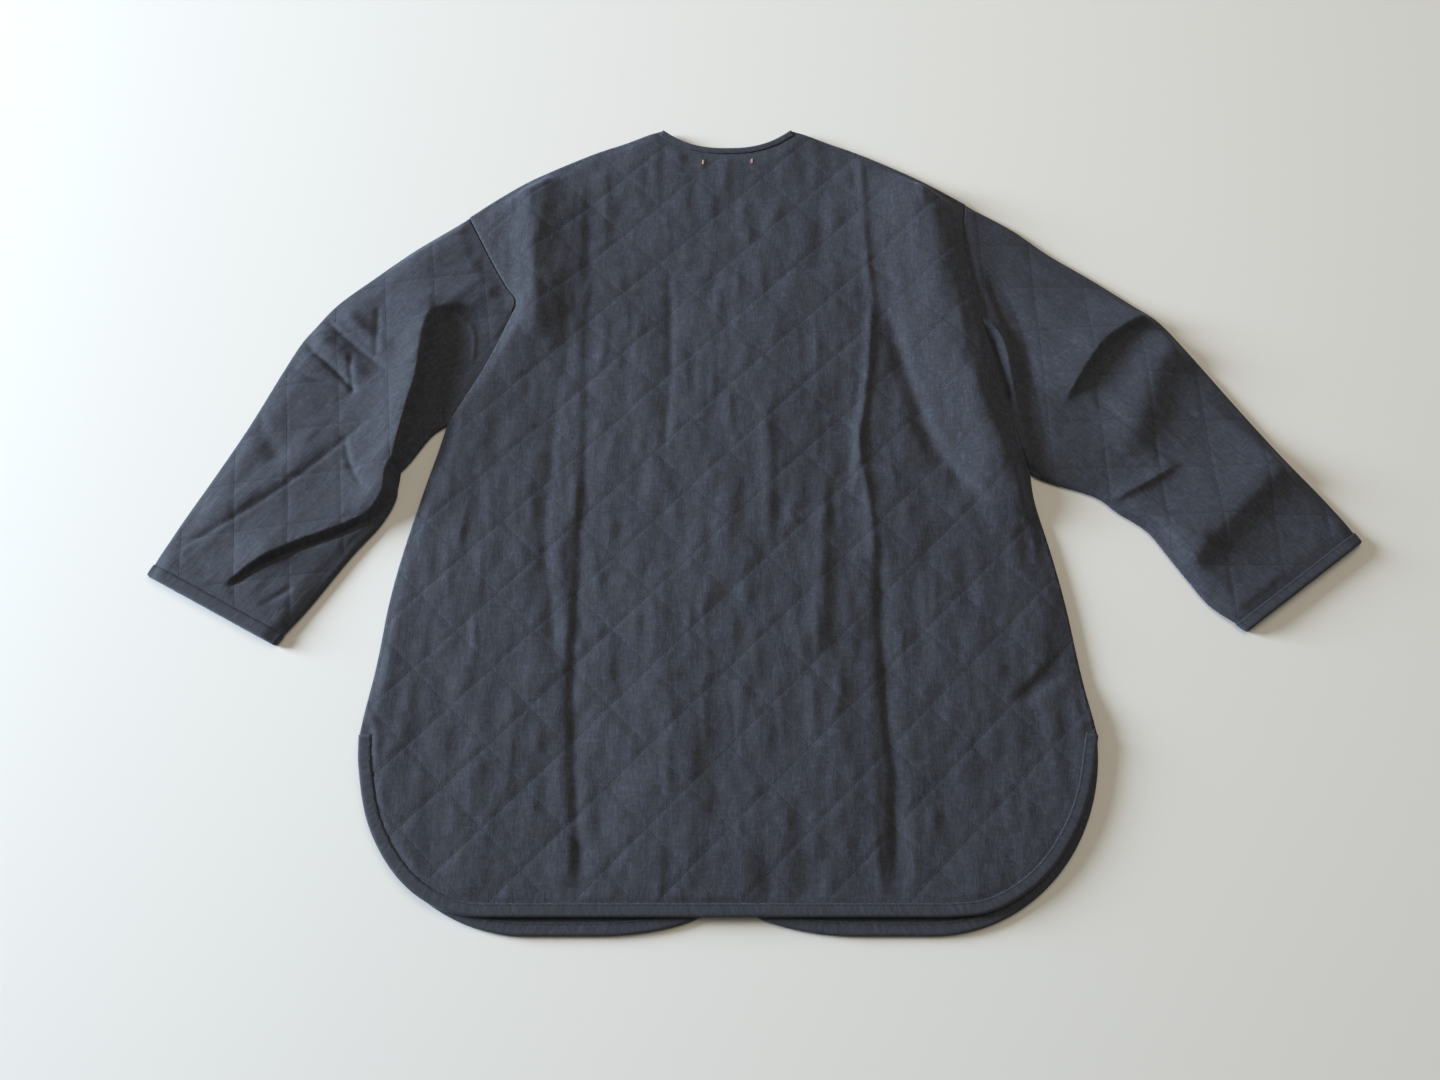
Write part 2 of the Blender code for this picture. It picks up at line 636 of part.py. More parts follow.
for old in list(bpy.data.objects):
    bpy.data.objects.remove(old, do_unlink=True)
coat = bpy.data.collections.new("quilted_coat")
bpy.context.scene.collection.children.link(coat)
quilted_cloth = cloth_material("quilted_cotton", CLOTH_COLOR)
tape_cloth = cloth_material("binding_cotton", TAPE_COLOR)

armhole_lines = build_back()
build_front("front_right", 1, SHOULDER_RIGHT, ARMHOLE_RIGHT, SIDE_RIGHT)
build_front("front_left", -1, SHOULDER_LEFT, ARMHOLE_LEFT, SIDE_LEFT)
build_sleeve("sleeve_right", 1, armhole_lines[0], SLEEVE_TOP_RIGHT, SLEEVE_UNDER_RIGHT, SLEEVE_FOLDS_RIGHT)
build_sleeve("sleeve_left", -1, armhole_lines[1], SLEEVE_TOP_LEFT, SLEEVE_UNDER_LEFT, SLEEVE_FOLDS_LEFT)
set_down()
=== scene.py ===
import math

import bpy
import numpy as np
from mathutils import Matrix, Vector
from mathutils.bvhtree import BVHTree


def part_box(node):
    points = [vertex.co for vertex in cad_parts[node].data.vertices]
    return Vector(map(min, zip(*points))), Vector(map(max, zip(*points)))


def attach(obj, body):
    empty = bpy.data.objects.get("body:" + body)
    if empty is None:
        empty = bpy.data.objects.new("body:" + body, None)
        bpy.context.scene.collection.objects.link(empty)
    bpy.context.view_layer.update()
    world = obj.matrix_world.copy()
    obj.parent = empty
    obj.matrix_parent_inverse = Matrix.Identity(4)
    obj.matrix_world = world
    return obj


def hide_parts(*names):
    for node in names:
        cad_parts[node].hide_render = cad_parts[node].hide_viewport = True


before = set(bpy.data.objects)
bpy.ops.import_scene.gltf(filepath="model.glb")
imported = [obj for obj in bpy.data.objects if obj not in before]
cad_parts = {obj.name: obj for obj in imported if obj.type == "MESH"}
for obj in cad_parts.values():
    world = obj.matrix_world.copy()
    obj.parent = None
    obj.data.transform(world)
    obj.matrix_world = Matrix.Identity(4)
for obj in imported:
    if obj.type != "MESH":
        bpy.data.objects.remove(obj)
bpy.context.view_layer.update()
bpy.ops.object.select_all(action="DESELECT")
mm = 0.001
backLow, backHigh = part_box("back_panel")
cutOrigin = np.array([(backLow.x + backHigh.x) / 2, backLow.y])  # centre back at the hem, metres
print("frame loaded:", len(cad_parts), "nodes")

# camera and light, set to the photograph's angle
view = {"place": (-0.0375, -0.5418, 1.22), "pitchDown": 68.4, "lens": 32.5, "sensor": 36.0}
bpy.ops.object.camera_add(location=view["place"], rotation=(math.radians(90 - view["pitchDown"]), 0, 0))
camera = bpy.context.object
camera.name = "photoCamera"
camera.data.lens = view["lens"]
camera.data.sensor_width = view["sensor"]
camera.data.dof.use_dof = False
bpy.context.scene.camera = camera

light = {
    "window": {"place": (-4.9, 1.0, 1.40), "size": 2.1, "power": 915, "color": (0.70, 0.84, 1.0)},
    "ceiling": {"place": (0.4, 0.9, 3.0), "size": 2.6, "power": 44, "color": (1.0, 0.91, 0.77)},
    "room": (0.58, 0.56, 0.475),
    "roomStrength": 0.34,
}
bpy.context.scene.view_settings.view_transform = "Standard"
for name in ("window", "ceiling"):
    lamp = light[name]
    bpy.ops.object.light_add(type="AREA", location=lamp["place"])
    area = bpy.context.object
    area.name = name + "Light"
    area.data.shape = "DISK"
    area.data.size = lamp["size"]
    area.data.energy = lamp["power"]
    area.data.color = lamp["color"]
    area.rotation_euler = (-Vector(lamp["place"])).to_track_quat("-Z", "Y").to_euler()
world = bpy.data.worlds.new("softRoom")
world.use_nodes = True
world.node_tree.nodes["Background"].inputs["Color"].default_value = (*light["room"], 1)
world.node_tree.nodes["Background"].inputs["Strength"].default_value = light["roomStrength"]
bpy.context.scene.world = world
print("camera and light set")

# the coat's cut, millimetres from the centre back at the hem, as in the solids
cut = {
    "backLength": 843.0, "neckHalf": 73.0, "neckDrop": 25.0, "neckPower": 2.5,
    "ventHalf": 349.0, "ventHeight": 165.0,
    "frontDrop": 16.0, "frontHemRound": 166.0, "frontCorner": (117.0, 40.0), "frontEdge": 3.0,
    "frontNeckDrop": 95.0, "frontTapeStop": 18.0,
    "cloth": 2.4, "seamGap": 0.3, "tape": 0.9, "tapeFlat": 13.5, "cuffFlat": 17.0,
    "backSeam": 2.7, "backLoft": 5.4, "backHem": 6.6, "neckLoft": 5.4, "sleeveLoft": 3.4, "mouth": 3.4,
    "shoulderRight": ((73, 868), (112, 853), (152, 836), (214, 803), (266, 769)),
    "shoulderLeft": ((73, 868), (112, 853), (154, 836), (217, 803), (256, 776), (287, 751)),
    "armholeRight": ((266, 769), (260, 714), (268, 646), (286, 536), (302, 465), (310, 440)),
    "armholeLeft": ((287, 751), (257, 690), (238, 655), (228, 637), (241, 600), (261, 552), (280, 515),
                    (292, 494)),
    "sideRight": ((310, 440), (312, 405), (323, 351), (332, 298), (338, 246), (344, 197), (349, 165)),
    "sideLeft": ((292, 494), (299, 462), (309, 422), (325, 351), (334, 298), (339, 246), (345, 197),
                 (349, 165)),
    "hemRight": ((349, 165), (345, 148), (336, 113), (321, 79), (297, 45), (268, 20), (234, 4), (199, 0)),
    "hemLeft": ((349, 165), (346, 135), (335, 90), (317, 55), (294, 28), (267, 10), (236, 1), (199, 0)),
    "sleeveTopRight": ((266, 769), (316, 736), (354, 703), (398, 671), (439, 639), (465, 618),
                       (494, 577), (532, 518), (571, 460), (612, 403), (636, 363)),
    "sleeveTopLeft": ((287, 751), (320, 727), (348, 706), (387, 672), (422, 640), (444, 610), (457, 590),
                      (473, 554), (500, 490), (528, 432), (556, 376), (577, 328)),
    "sleeveUnderRight": ((310, 440), (324, 431), (374, 413), (396, 395), (423, 375), (441, 348),
                         (458, 321), (477, 294), (508, 270)),
    "sleeveUnderLeft": ((292, 494), (307, 483), (328, 451), (338, 437), (338, 411), (351, 382), (377, 348),
                        (413, 294), (442, 256)),
}
frontLift = cut["seamGap"] + cut["tape"]  # room for the binding under an edge
lineStep = 7.0
chunk = 8000  # points measured at a time
hands = ((1, "right"), (-1, "left"))


def ease(value, reach):
    t = np.clip(value / reach, 0, 1)
    return t * t * (3 - 2 * t)


def resampled(path, count):
    lengths = np.concatenate([[0], np.cumsum(np.linalg.norm(np.diff(path, axis=0), axis=1))])
    stops = np.linspace(0, lengths[-1], count) if np.isscalar(count) else np.asarray(count) * lengths[-1]
    return np.stack([np.interp(stops, lengths, path[:, k]) for k in range(path.shape[1])], axis=1)


def lengthOf(path):
    return float(np.linalg.norm(np.diff(path, axis=0), axis=1).sum())


def evenly(path, step=lineStep):
    return resampled(path, max(2, round(lengthOf(path) / step) + 1))


def smoothLine(rows, step=lineStep):
    rows = np.asarray(rows, float)
    ends = np.vstack([2 * rows[0] - rows[1], rows, 2 * rows[-1] - rows[-2]])
    t = np.linspace(0, 1, 16, endpoint=False)[:, None]
    runs = []
    for a, b, c, d in zip(ends, ends[1:], ends[2:], ends[3:]):
        bend, twist = 2 * a - 5 * b + 4 * c - d, 3 * b - a - 3 * c + d
        runs.append(0.5 * (2 * b + (c - a) * t + bend * t**2 + twist * t**3))
    return evenly(np.vstack(runs + [rows[-1:]]), step)


def roundCorner(center, radii, start, end, step=lineStep):
    angle = np.radians(np.linspace(start, end, 90))
    x, y = center[0] + radii[0] * np.cos(angle), center[1] + radii[1] * np.sin(angle)
    return evenly(np.stack([x, y], axis=1), step)


def joinedPath(*paths):
    return np.vstack([paths[0]] + [path[1:] for path in paths[1:]])


def mirrored(path, side):
    return np.asarray(path, float) * (side, 1)


def nearLine(points, path):
    # distance to a line, which hand it lies on and how far along it is
    start, run = path[:-1], np.diff(path, axis=0)
    lengths = np.linalg.norm(run, axis=1)
    before = np.concatenate([[0], np.cumsum(lengths)])
    gap, hand, along = (np.zeros(len(points)) for _ in range(3))
    for first in range(0, len(points), chunk):
        part = slice(first, first + chunk)
        offset = points[part, None] - start
        t = np.clip((offset * run).sum(-1) / (lengths**2), 0, 1)
        away = offset - t[..., None] * run
        distance = np.einsum("ijk,ijk->ij", away, away)
        best = distance.argmin(axis=1)
        rows = np.arange(len(best))
        gap[part] = np.sqrt(distance[rows, best])
        hand[part] = run[best, 0] * offset[rows, best, 1] - run[best, 1] * offset[rows, best, 0]
        along[part] = (before[best] + t[rows, best] * lengths[best]) / before[-1]
    return gap, hand, along


def distanceTo(points, *paths):
    return np.minimum.reduce([nearLine(points, path)[0] for path in paths])


def insideOf(points, outline):
    a, b = outline, np.roll(outline, -1, axis=0)
    rise = np.where(a[:, 1] == b[:, 1], 1e-9, b[:, 1] - a[:, 1])
    found = np.zeros(len(points), bool)
    for first in range(0, len(points), chunk):
        part = slice(first, first + chunk)
        x, y = points[part, 0, None], points[part, 1, None]
        crossed = (a[:, 1] > y) != (b[:, 1] > y)
        left = x < a[:, 0] + (b[:, 0] - a[:, 0]) * (y - a[:, 1]) / rise
        found[part] = (crossed & left).sum(1) % 2 == 1
    return found


def areaOf(outline):
    x, y = outline.T
    return abs(float((x * np.roll(y, -1) - np.roll(x, -1) * y).sum())) / 2


def intoCloth(path, side):
    run = np.diff(path, axis=0)
    run = run / np.linalg.norm(run, axis=1, keepdims=True)
    normal = side * np.stack([run[:, 1], -run[:, 0]], axis=1)
    before, after = np.vstack([normal[:1], normal]), np.vstack([normal, normal[-1:]])
    middle = before + after
    middle /= np.linalg.norm(middle, axis=1, keepdims=True)
    return middle / (middle * before).sum(axis=1, keepdims=True)


def turned(points, center, angle):
    c, s = math.cos(angle), math.sin(angle)
    return (points - center) @ np.array([[c, -s], [s, c]])


# the quilting: diamonds of wadding between stitched lines, with the small puckers that sewing leaves
quilting = {
    "diamond": 76.3, "origin": (0.0, 612.0), "puff": 0.35, "groove": 0.45, "grooveWidth": 2.3,
    "puckerShares": (-0.29, -0.03, 0.25), "puckerJitter": 0.12, "puckerHeight": (0.1, 1.2),
    "puckerWidth": (3.6, 7.5), "puckerLively": (0.25, 1.0), "puckerReach": (0.5, 1.2), "puckerLean": 0.14,
    "puckerRise": 0.6, "heldWidth": 5.0, "heldShare": 0.3, "steepSide": 0.7,
    "swell": 1.05, "swellPitch": (17.0, 44.0), "ripple": 0.5, "ripplePitch": (9.0, 24.0),
    "dimple": 0.45, "dimplePitch": (13.0, 12.0), "broad": 1.6, "broadPitch": (58.0, 120.0), "shoulder": 0.5,
    "stitch": 2.3, "stitchPitch": 3.1, "hiddenPitch": 4.2, "thread": 0.42, "lift": 0.02, "ahead": 1.2,
}
quiltOrigin = np.array(quilting["origin"])


def seamGap(local):
    # distance to the nearest stitched line
    gaps = []
    for sign in (1, -1):
        row = (local[:, 0] + sign * local[:, 1]) / quilting["diamond"]
        gaps.append(np.abs(row - np.round(row)) * quilting["diamond"] / math.sqrt(2))
    return np.minimum(*gaps)


def padding(local):
    # wadding's height: a narrow groove on each stitched line, low crowns between
    gap = seamGap(local)
    crown = quilting["puff"] * ease(gap, quilting["diamond"] / 2.83)
    return crown + quilting["groove"] * (1 - np.exp(-((gap / quilting["grooveWidth"]) ** 1.5)))


def drawnOut(local, pitch, seed):
    # soft random swells, longer along the cloth than across
    draw = np.random.default_rng(seed)
    cells = local / pitch
    base = np.floor(cells).astype(int)
    part = cells - base
    part = part * part * (3 - 2 * part)
    base = base - base.min(0)
    table = draw.uniform(-1, 1, base.max(0) + 2)
    i, j = base.T
    s, t = part.T
    one = table[i, j] * (1 - s) + table[i + 1, j] * s
    two = table[i, j + 1] * (1 - s) + table[i + 1, j + 1] * s
    return one * (1 - t) + two * t


def puckers(local, seed):
    # a few upright lens-shaped ridges in each diamond, from one stitched line to the next
    draw = np.random.default_rng(seed)
    half = quilting["diamond"] / 2
    low, high = np.floor(local.min(0) / half).astype(int) - 1, np.ceil(local.max(0) / half).astype(int) + 1
    total = np.zeros(len(local))
    for i in range(low[0], high[0] + 1):
        for j in range(low[1], high[1] + 1):
            if (i + j) % 2 == 0:
                continue
            lively = draw.uniform(*quilting["puckerLively"])
            for share in quilting["puckerShares"]:
                shift = (share + draw.uniform(-1, 1) * quilting["puckerJitter"]) * 2 * half
                reach = half * draw.uniform(*quilting["puckerReach"])
                height = lively * draw.uniform(*quilting["puckerHeight"])
                width = draw.uniform(*quilting["puckerWidth"])
                lean = draw.uniform(-quilting["puckerLean"], quilting["puckerLean"])
                rise = draw.uniform(-quilting["puckerRise"], quilting["puckerRise"]) * half
                away = local - ((i * half + shift), (j * half + rise))
                near = (np.abs(away[:, 1]) < reach) & (np.abs(away[:, 0]) < 30)
                x, y = away[near, 0] + lean * away[near, 1], away[near, 1] / reach
                lens = (1 - y * y) ** 1.3
                wide = width * (0.45 + 0.55 * lens) * np.where(x > 0, quilting["steepSide"], 1.0)
                total[near] += height * lens * np.exp(-((x / wide) ** 2))
    swell = quilting["swell"] * drawnOut(local, quilting["swellPitch"], seed + 1)
    ripple = quilting["ripple"] * drawnOut(local, quilting["ripplePitch"], seed + 2)
    ripple += quilting["dimple"] * drawnOut(local, quilting["dimplePitch"], seed + 4)
    broad = quilting["broad"] * drawnOut(local, quilting["broadPitch"], seed + 3)
    held = np.exp(-((seamGap(local) / quilting["heldWidth"]) ** 2))  # flatter across a stitched line
    return (total + swell + ripple) * (1 - quilting["heldShare"] * held) + broad


foldShape = {"step": 6.0, "reach": 2.8, "crestRound": 1.2, "fade": 0.24, "overrun": 0.02}


def foldHeights(points, folds):
    # rows: height, width on the left hand, width on the right hand, roundness of the crest, the line's points
    total = np.zeros(len(points))
    for height, left, right, crest, *line in folds:
        path = smoothLine(line, foldShape["step"])
        reach = foldShape["reach"] * max(left, right)
        near = ((points > path.min(0) - reach) & (points < path.max(0) + reach)).all(1)
        gap, hand, along = nearLine(points[near], path)
        wide = np.where(hand > 0, left, right)
        fade, overrun = foldShape["fade"], foldShape["overrun"]
        ends = ease(along + overrun, fade) * ease(1 + overrun - along, fade)
        total[near] += height * np.exp(-((np.hypot(gap, foldShape["crestRound"]) / wide) ** crest)) * ends
    return total


# making meshes
def toWorld(points, heights):
    flat = np.asarray(points) * mm + cutOrigin
    return np.column_stack([flat, np.asarray(heights) * mm])


def setPoints(obj, points):
    obj.data.vertices.foreach_set("co", np.ascontiguousarray(points, np.float32).ravel())
    obj.data.update()


def getPoints(obj):
    points = np.zeros(len(obj.data.vertices) * 3, np.float32)
    obj.data.vertices.foreach_get("co", points)
    return points.reshape(-1, 3).astype(float)


def meshPiece(name, points, faces):
    mesh = bpy.data.meshes.new(name)
    mesh.from_pydata(np.asarray(points).tolist(), [], np.asarray(faces).tolist())
    mesh.update()
    obj = bpy.data.objects.new(name, mesh)
    bpy.context.scene.collection.objects.link(obj)
    return obj


def setGrain(obj, across, along):
    # where each point lies on the woven cloth, metres across and along the warp
    grain = obj.data.attributes.new("grain", "FLOAT_VECTOR", "POINT")
    flat = np.column_stack([across, along, np.zeros(len(across))]) * mm
    grain.data.foreach_set("vector", np.ascontiguousarray(flat, np.float32).ravel())


def makeActive(obj):
    bpy.ops.object.select_all(action="DESELECT")
    obj.select_set(True)
    bpy.context.view_layer.objects.active = obj


def applied(obj, kind, **settings):
    makeActive(obj)
    modifier = obj.modifiers.new(kind.title(), kind)
    for key, value in settings.items():
        setattr(modifier, key, value)
    bpy.ops.object.modifier_apply(modifier=modifier.name)


def faceOutwards(obj):
    makeActive(obj)
    bpy.ops.object.mode_set(mode="EDIT")
    bpy.ops.mesh.select_all(action="SELECT")
    bpy.ops.mesh.normals_make_consistent(inside=False)
    bpy.ops.object.mode_set(mode="OBJECT")


def treeOf(obj):
    corners = [v.co[:] for v in obj.data.vertices]
    return BVHTree.FromPolygons(corners, [p.vertices[:] for p in obj.data.polygons])


def rimOf(obj):
    loops = np.zeros(len(obj.data.loops), int)
    obj.data.loops.foreach_get("edge_index", loops)
    edges = np.zeros(len(obj.data.edges) * 2, int)
    obj.data.edges.foreach_get("vertices", edges)
    edges = edges.reshape(-1, 2)
    single = np.bincount(loops, minlength=len(edges)) == 1
    return np.unique(edges[single]), edges


def panelGrid(name, outline, divisions, corners):
    # a fine flat grid in step with the quilting, cut to the outline and drawn onto it
    step = quilting["diamond"] / divisions
    low = np.floor((outline.min(0) - quilting["origin"]) / step) * step + quilting["origin"]
    cells = np.ceil((outline.max(0) - low) / step).astype(int)
    bpy.ops.object.select_all(action="DESELECT")
    bpy.ops.mesh.primitive_grid_add(x_subdivisions=int(cells[0]), y_subdivisions=int(cells[1]), size=2)
    panel = bpy.context.object
    panel.name = panel.data.name = name
    points = low + (getPoints(panel)[:, :2] + 1) / 2 * cells * step
    outside = ~insideOf(points[cornersOf(panel)].mean(1), outline)
    setPoints(panel, np.column_stack([points, np.zeros(len(points))]))
    for part in (panel.data.vertices, panel.data.edges):
        part.foreach_set("select", np.zeros(len(part), bool))
    panel.data.polygons.foreach_set("select", outside)
    bpy.context.tool_settings.mesh_select_mode = (False, False, True)
    bpy.ops.object.mode_set(mode="EDIT")
    bpy.ops.mesh.delete(type="FACE")
    bpy.ops.object.mode_set(mode="OBJECT")
    points = getPoints(panel)[:, :2]
    rim, links = rimOf(panel)
    closed = np.vstack([outline, outline[:1]])
    run = np.diff(closed, axis=0)
    for k in rim:
        t = np.clip(((points[k] - closed[:-1]) * run).sum(1) / (run**2).sum(1), 0, 1)
        spots = closed[:-1] + t[:, None] * run
        points[k] = spots[((spots - points[k]) ** 2).sum(1).argmin()]
    for corner in corners:
        points[rim[((points[rim] - corner) ** 2).sum(1).argmin()]] = corner
    band = distanceTo(points, closed) < 3 * step
    band[rim] = False
    count = np.bincount(links.ravel(), minlength=len(points))[:, None]
    for _ in range(6):  # evens out the cells next to the edge
        mean = np.zeros_like(points)
        np.add.at(mean, links[:, 0], points[links[:, 1]])
        np.add.at(mean, links[:, 1], points[links[:, 0]])
        points[band] = (mean / count)[band]
    return panel, points


def cornersOf(obj):
    quads = np.zeros(len(obj.data.loops), int)
    obj.data.loops.foreach_get("vertex_index", quads)
    return quads.reshape(-1, 4)


def clothWall(panel, points, over, under, plainSide, keep):
    # turns a flat grid into a closed wall
    # its triangles fold along the stitched lines, and the plain side is thinned
    quads = cornersOf(panel)
    onLine = seamGap(points - quilting["origin"]) < 0.2
    first = onLine[quads[:, 0]] & onLine[quads[:, 2]]
    second = onLine[quads[:, 1]] & onLine[quads[:, 3]]
    flip = (second & ~first) | (~first & ~second & (np.arange(len(quads)) % 2 == 0))
    order = np.where(flip[:, None], quads[:, [1, 2, 3, 0]], quads)
    top = np.vstack([order[:, [0, 1, 2]], order[:, [0, 2, 3]]])
    sides = np.vstack([top[:, [0, 1]], top[:, [1, 2]], top[:, [2, 0]]])
    count = len(points)
    code, back = sides[:, 0] * count + sides[:, 1], sides[:, 1] * count + sides[:, 0]
    edge = sides[~np.isin(code, back)]
    wall = np.vstack([np.column_stack([edge[:, 1], edge[:, 0], edge[:, 0] + count]),
                      np.column_stack([edge[:, 1], edge[:, 0] + count, edge[:, 1] + count])])
    faces = np.vstack([top, top[:, ::-1] + count, wall])
    name = panel.name
    bpy.data.objects.remove(panel)
    made = meshPiece(name, np.vstack([toWorld(points, over), toWorld(points, under)]), faces)
    setGrain(made, *np.vstack([points, points]).T)
    thinned = made.vertex_groups.new(name="plainSide")
    thinned.add([k + (count if plainSide == "under" else 0) for k in range(count)], 1.0, "REPLACE")
    applied(made, "DECIMATE", decimate_type="COLLAPSE", ratio=keep, vertex_group="plainSide")
    made.vertex_groups.clear()
    return made


# materials
def nodeAt(tree, kind, **values):
    node = tree.nodes.new(kind)
    for key, value in values.items():
        if key in node.inputs:
            node.inputs[key].default_value = value
        else:
            setattr(node, key, value)
    return node


def newMaterial(name):
    material = bpy.data.materials.new(name)
    material.use_nodes = True
    return material, material.node_tree, material.node_tree.nodes["Principled BSDF"]


def streaks(tree, grain, scale, detail, rough):
    # noise drawn out along one set of threads
    place = nodeAt(tree, "ShaderNodeMapping", Scale=scale)
    noise = nodeAt(tree, "ShaderNodeTexNoise", Scale=1.0, Detail=detail, Roughness=rough)
    tree.links.new(grain.outputs["Vector"], place.inputs["Vector"])
    tree.links.new(place.outputs["Vector"], noise.inputs["Vector"])
    return noise.outputs["Fac"]


def graded(tree, value, low, high):
    ramp = nodeAt(tree, "ShaderNodeMapRange")
    tree.links.new(value, ramp.inputs["Value"])
    ramp.inputs["From Min"].default_value = low
    ramp.inputs["From Max"].default_value = high
    return ramp.outputs["Result"]


def mixedColor(tree, factor, first, second):
    mix = nodeAt(tree, "ShaderNodeMix", data_type="RGBA", blend_type="MIX")
    tree.links.new(factor, mix.inputs[0])
    for socket, value in ((mix.inputs[6], first), (mix.inputs[7], second)):
        if isinstance(value, tuple):
            socket.default_value = (*value, 1)
        else:
            tree.links.new(value, socket)
    return mix.outputs[2]


def summed(tree, operation, first, second):
    node = nodeAt(tree, "ShaderNodeMath", operation=operation)
    for socket, value in zip(node.inputs, (first, second)):
        if isinstance(value, (int, float)):
            socket.default_value = value
        else:
            tree.links.new(value, socket)
    return node.outputs["Value"]


weave = {  # noise scale across and along the warp, detail, roughness
    "warp": ((850, 130, 1), 3.0, 0.6), "weft": ((110, 950, 1), 2.0, 0.55), "slub": ((330, 85, 1), 3.0, 0.6),
    "cross": ((85, 360, 1), 3.0, 0.6), "cloud": ((60, 22, 1), 3.0, 0.6), "fleck": ((260, 240, 1), 3.0, 0.65),
}


def slubCotton(name, look):
    # dark indigo cotton with uneven threads both ways
    material, tree, shader = newMaterial(name)
    grain = nodeAt(tree, "ShaderNodeAttribute", attribute_name="grain")
    warp, weft, slub, cross, cloud, fleck = (streaks(tree, grain, *row) for row in weave.values())
    threads = summed(tree, "ADD", graded(tree, warp, 0.30, 0.72), graded(tree, weft, 0.34, 0.86))
    color = mixedColor(tree, graded(tree, threads, 0.35, 1.65), look["deep"], look["pale"])
    color = mixedColor(tree, graded(tree, slub, 0.46, 0.80), color, look["slub"])
    color = mixedColor(tree, graded(tree, cross, 0.50, 0.86), color, look["slub"])
    worn = summed(tree, "MULTIPLY", graded(tree, cloud, 0.40, 0.72), look["wornShare"])
    color = mixedColor(tree, worn, color, look["worn"])
    dark = summed(tree, "MULTIPLY", graded(tree, fleck, 0.45, 0.72), look["fleckShare"])
    color = mixedColor(tree, dark, color, look["deep"])
    tree.links.new(color, shader.inputs["Base Color"])
    rough = nodeAt(tree, "ShaderNodeMapRange")
    tree.links.new(warp, rough.inputs["Value"])
    rough.inputs["To Min"].default_value = look["roughness"][0]
    rough.inputs["To Max"].default_value = look["roughness"][1]
    tree.links.new(rough.outputs["Result"], shader.inputs["Roughness"])
    yarn = []
    for direction, pitch in (("X", look["threadPitch"]), ("Y", look["threadPitch"] * 1.15)):
        wave = nodeAt(tree, "ShaderNodeTexWave", Distortion=1.2, Detail=1.0)
        wave.bands_direction = direction
        wave.inputs["Scale"].default_value = 0.314 / (pitch * mm)  # a band every pitch
        tree.links.new(grain.outputs["Vector"], wave.inputs["Vector"])
        yarn.append(wave.outputs["Fac"])
    relief = summed(tree, "MULTIPLY", summed(tree, "MAXIMUM", *yarn), 0.30)
    relief = summed(tree, "ADD", relief, graded(tree, slub, 0.35, 0.85))
    relief = summed(tree, "ADD", relief, graded(tree, warp, 0.25, 0.8))
    bump = nodeAt(tree, "ShaderNodeBump", Strength=look["bump"], Distance=0.0005)
    tree.links.new(relief, bump.inputs["Height"])
    tree.links.new(bump.outputs["Normal"], shader.inputs["Normal"])
    shader.inputs["Specular IOR Level"].default_value = look["specular"]
    shader.inputs["Sheen Weight"].default_value = look["sheen"]
    shader.inputs["Sheen Roughness"].default_value = look["sheenRoughness"]
    shader.inputs["Sheen Tint"].default_value = (*look["sheenTint"], 1)
    return material


threadLook = {
    "navy": (0.026, 0.027, 0.036), "rose": (0.66, 0.40, 0.36), "fibre": 900.0, "darkShare": 0.6,
    "roughness": 0.85, "specular": 0.1,
}


def sewingThread(name, color):
    material, tree, shader = newMaterial(name)
    place = nodeAt(tree, "ShaderNodeTexCoord")
    noise = nodeAt(tree, "ShaderNodeTexNoise", Scale=threadLook["fibre"], Detail=2.0)
    tree.links.new(place.outputs["Object"], noise.inputs["Vector"])
    dark = tuple(threadLook["darkShare"] * c for c in color)
    tree.links.new(mixedColor(tree, noise.outputs["Fac"], dark, color), shader.inputs["Base Color"])
    shader.inputs["Roughness"].default_value = threadLook["roughness"]
    shader.inputs["Specular IOR Level"].default_value = threadLook["specular"]
    return material


quiltedLook = {
    "deep": (0.0205, 0.0215, 0.0255), "pale": (0.0395, 0.0410, 0.0530), "slub": (0.0500, 0.0515, 0.0715),
    "worn": (0.0350, 0.0350, 0.0380), "wornShare": 0.55, "fleckShare": 0.7, "roughness": (0.72, 0.95),
    "threadPitch": 0.62, "bump": 0.3, "specular": 0.22, "sheen": 0.14, "sheenRoughness": 0.45,
    "sheenTint": (0.62, 0.70, 1.0),
}
# the bindings' copy of the cloth: its darkest threads are painted lighter than the quilted cloth's, as
# painted light against the shade on the neck binding's sloped top
bindingLook = dict(quiltedLook, deep=(0.0225, 0.0237, 0.0280), pale=(0.0390, 0.0406, 0.0515))
quiltedCotton = slubCotton("quiltedCotton", quiltedLook)
bindingCotton = slubCotton("bindingCotton", bindingLook)
navyThread = sewingThread("navyThread", threadLook["navy"])
roseThread = sewingThread("roseThread", threadLook["rose"])
print("materials made")


def finishPiece(obj, material, slot, *nodes):
    makeActive(obj)
    bpy.ops.object.shade_smooth()
    obj.data.materials.clear()
    obj.data.materials.append(material)
    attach(obj, "root")
    if nodes:
        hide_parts(*nodes)
    return obj


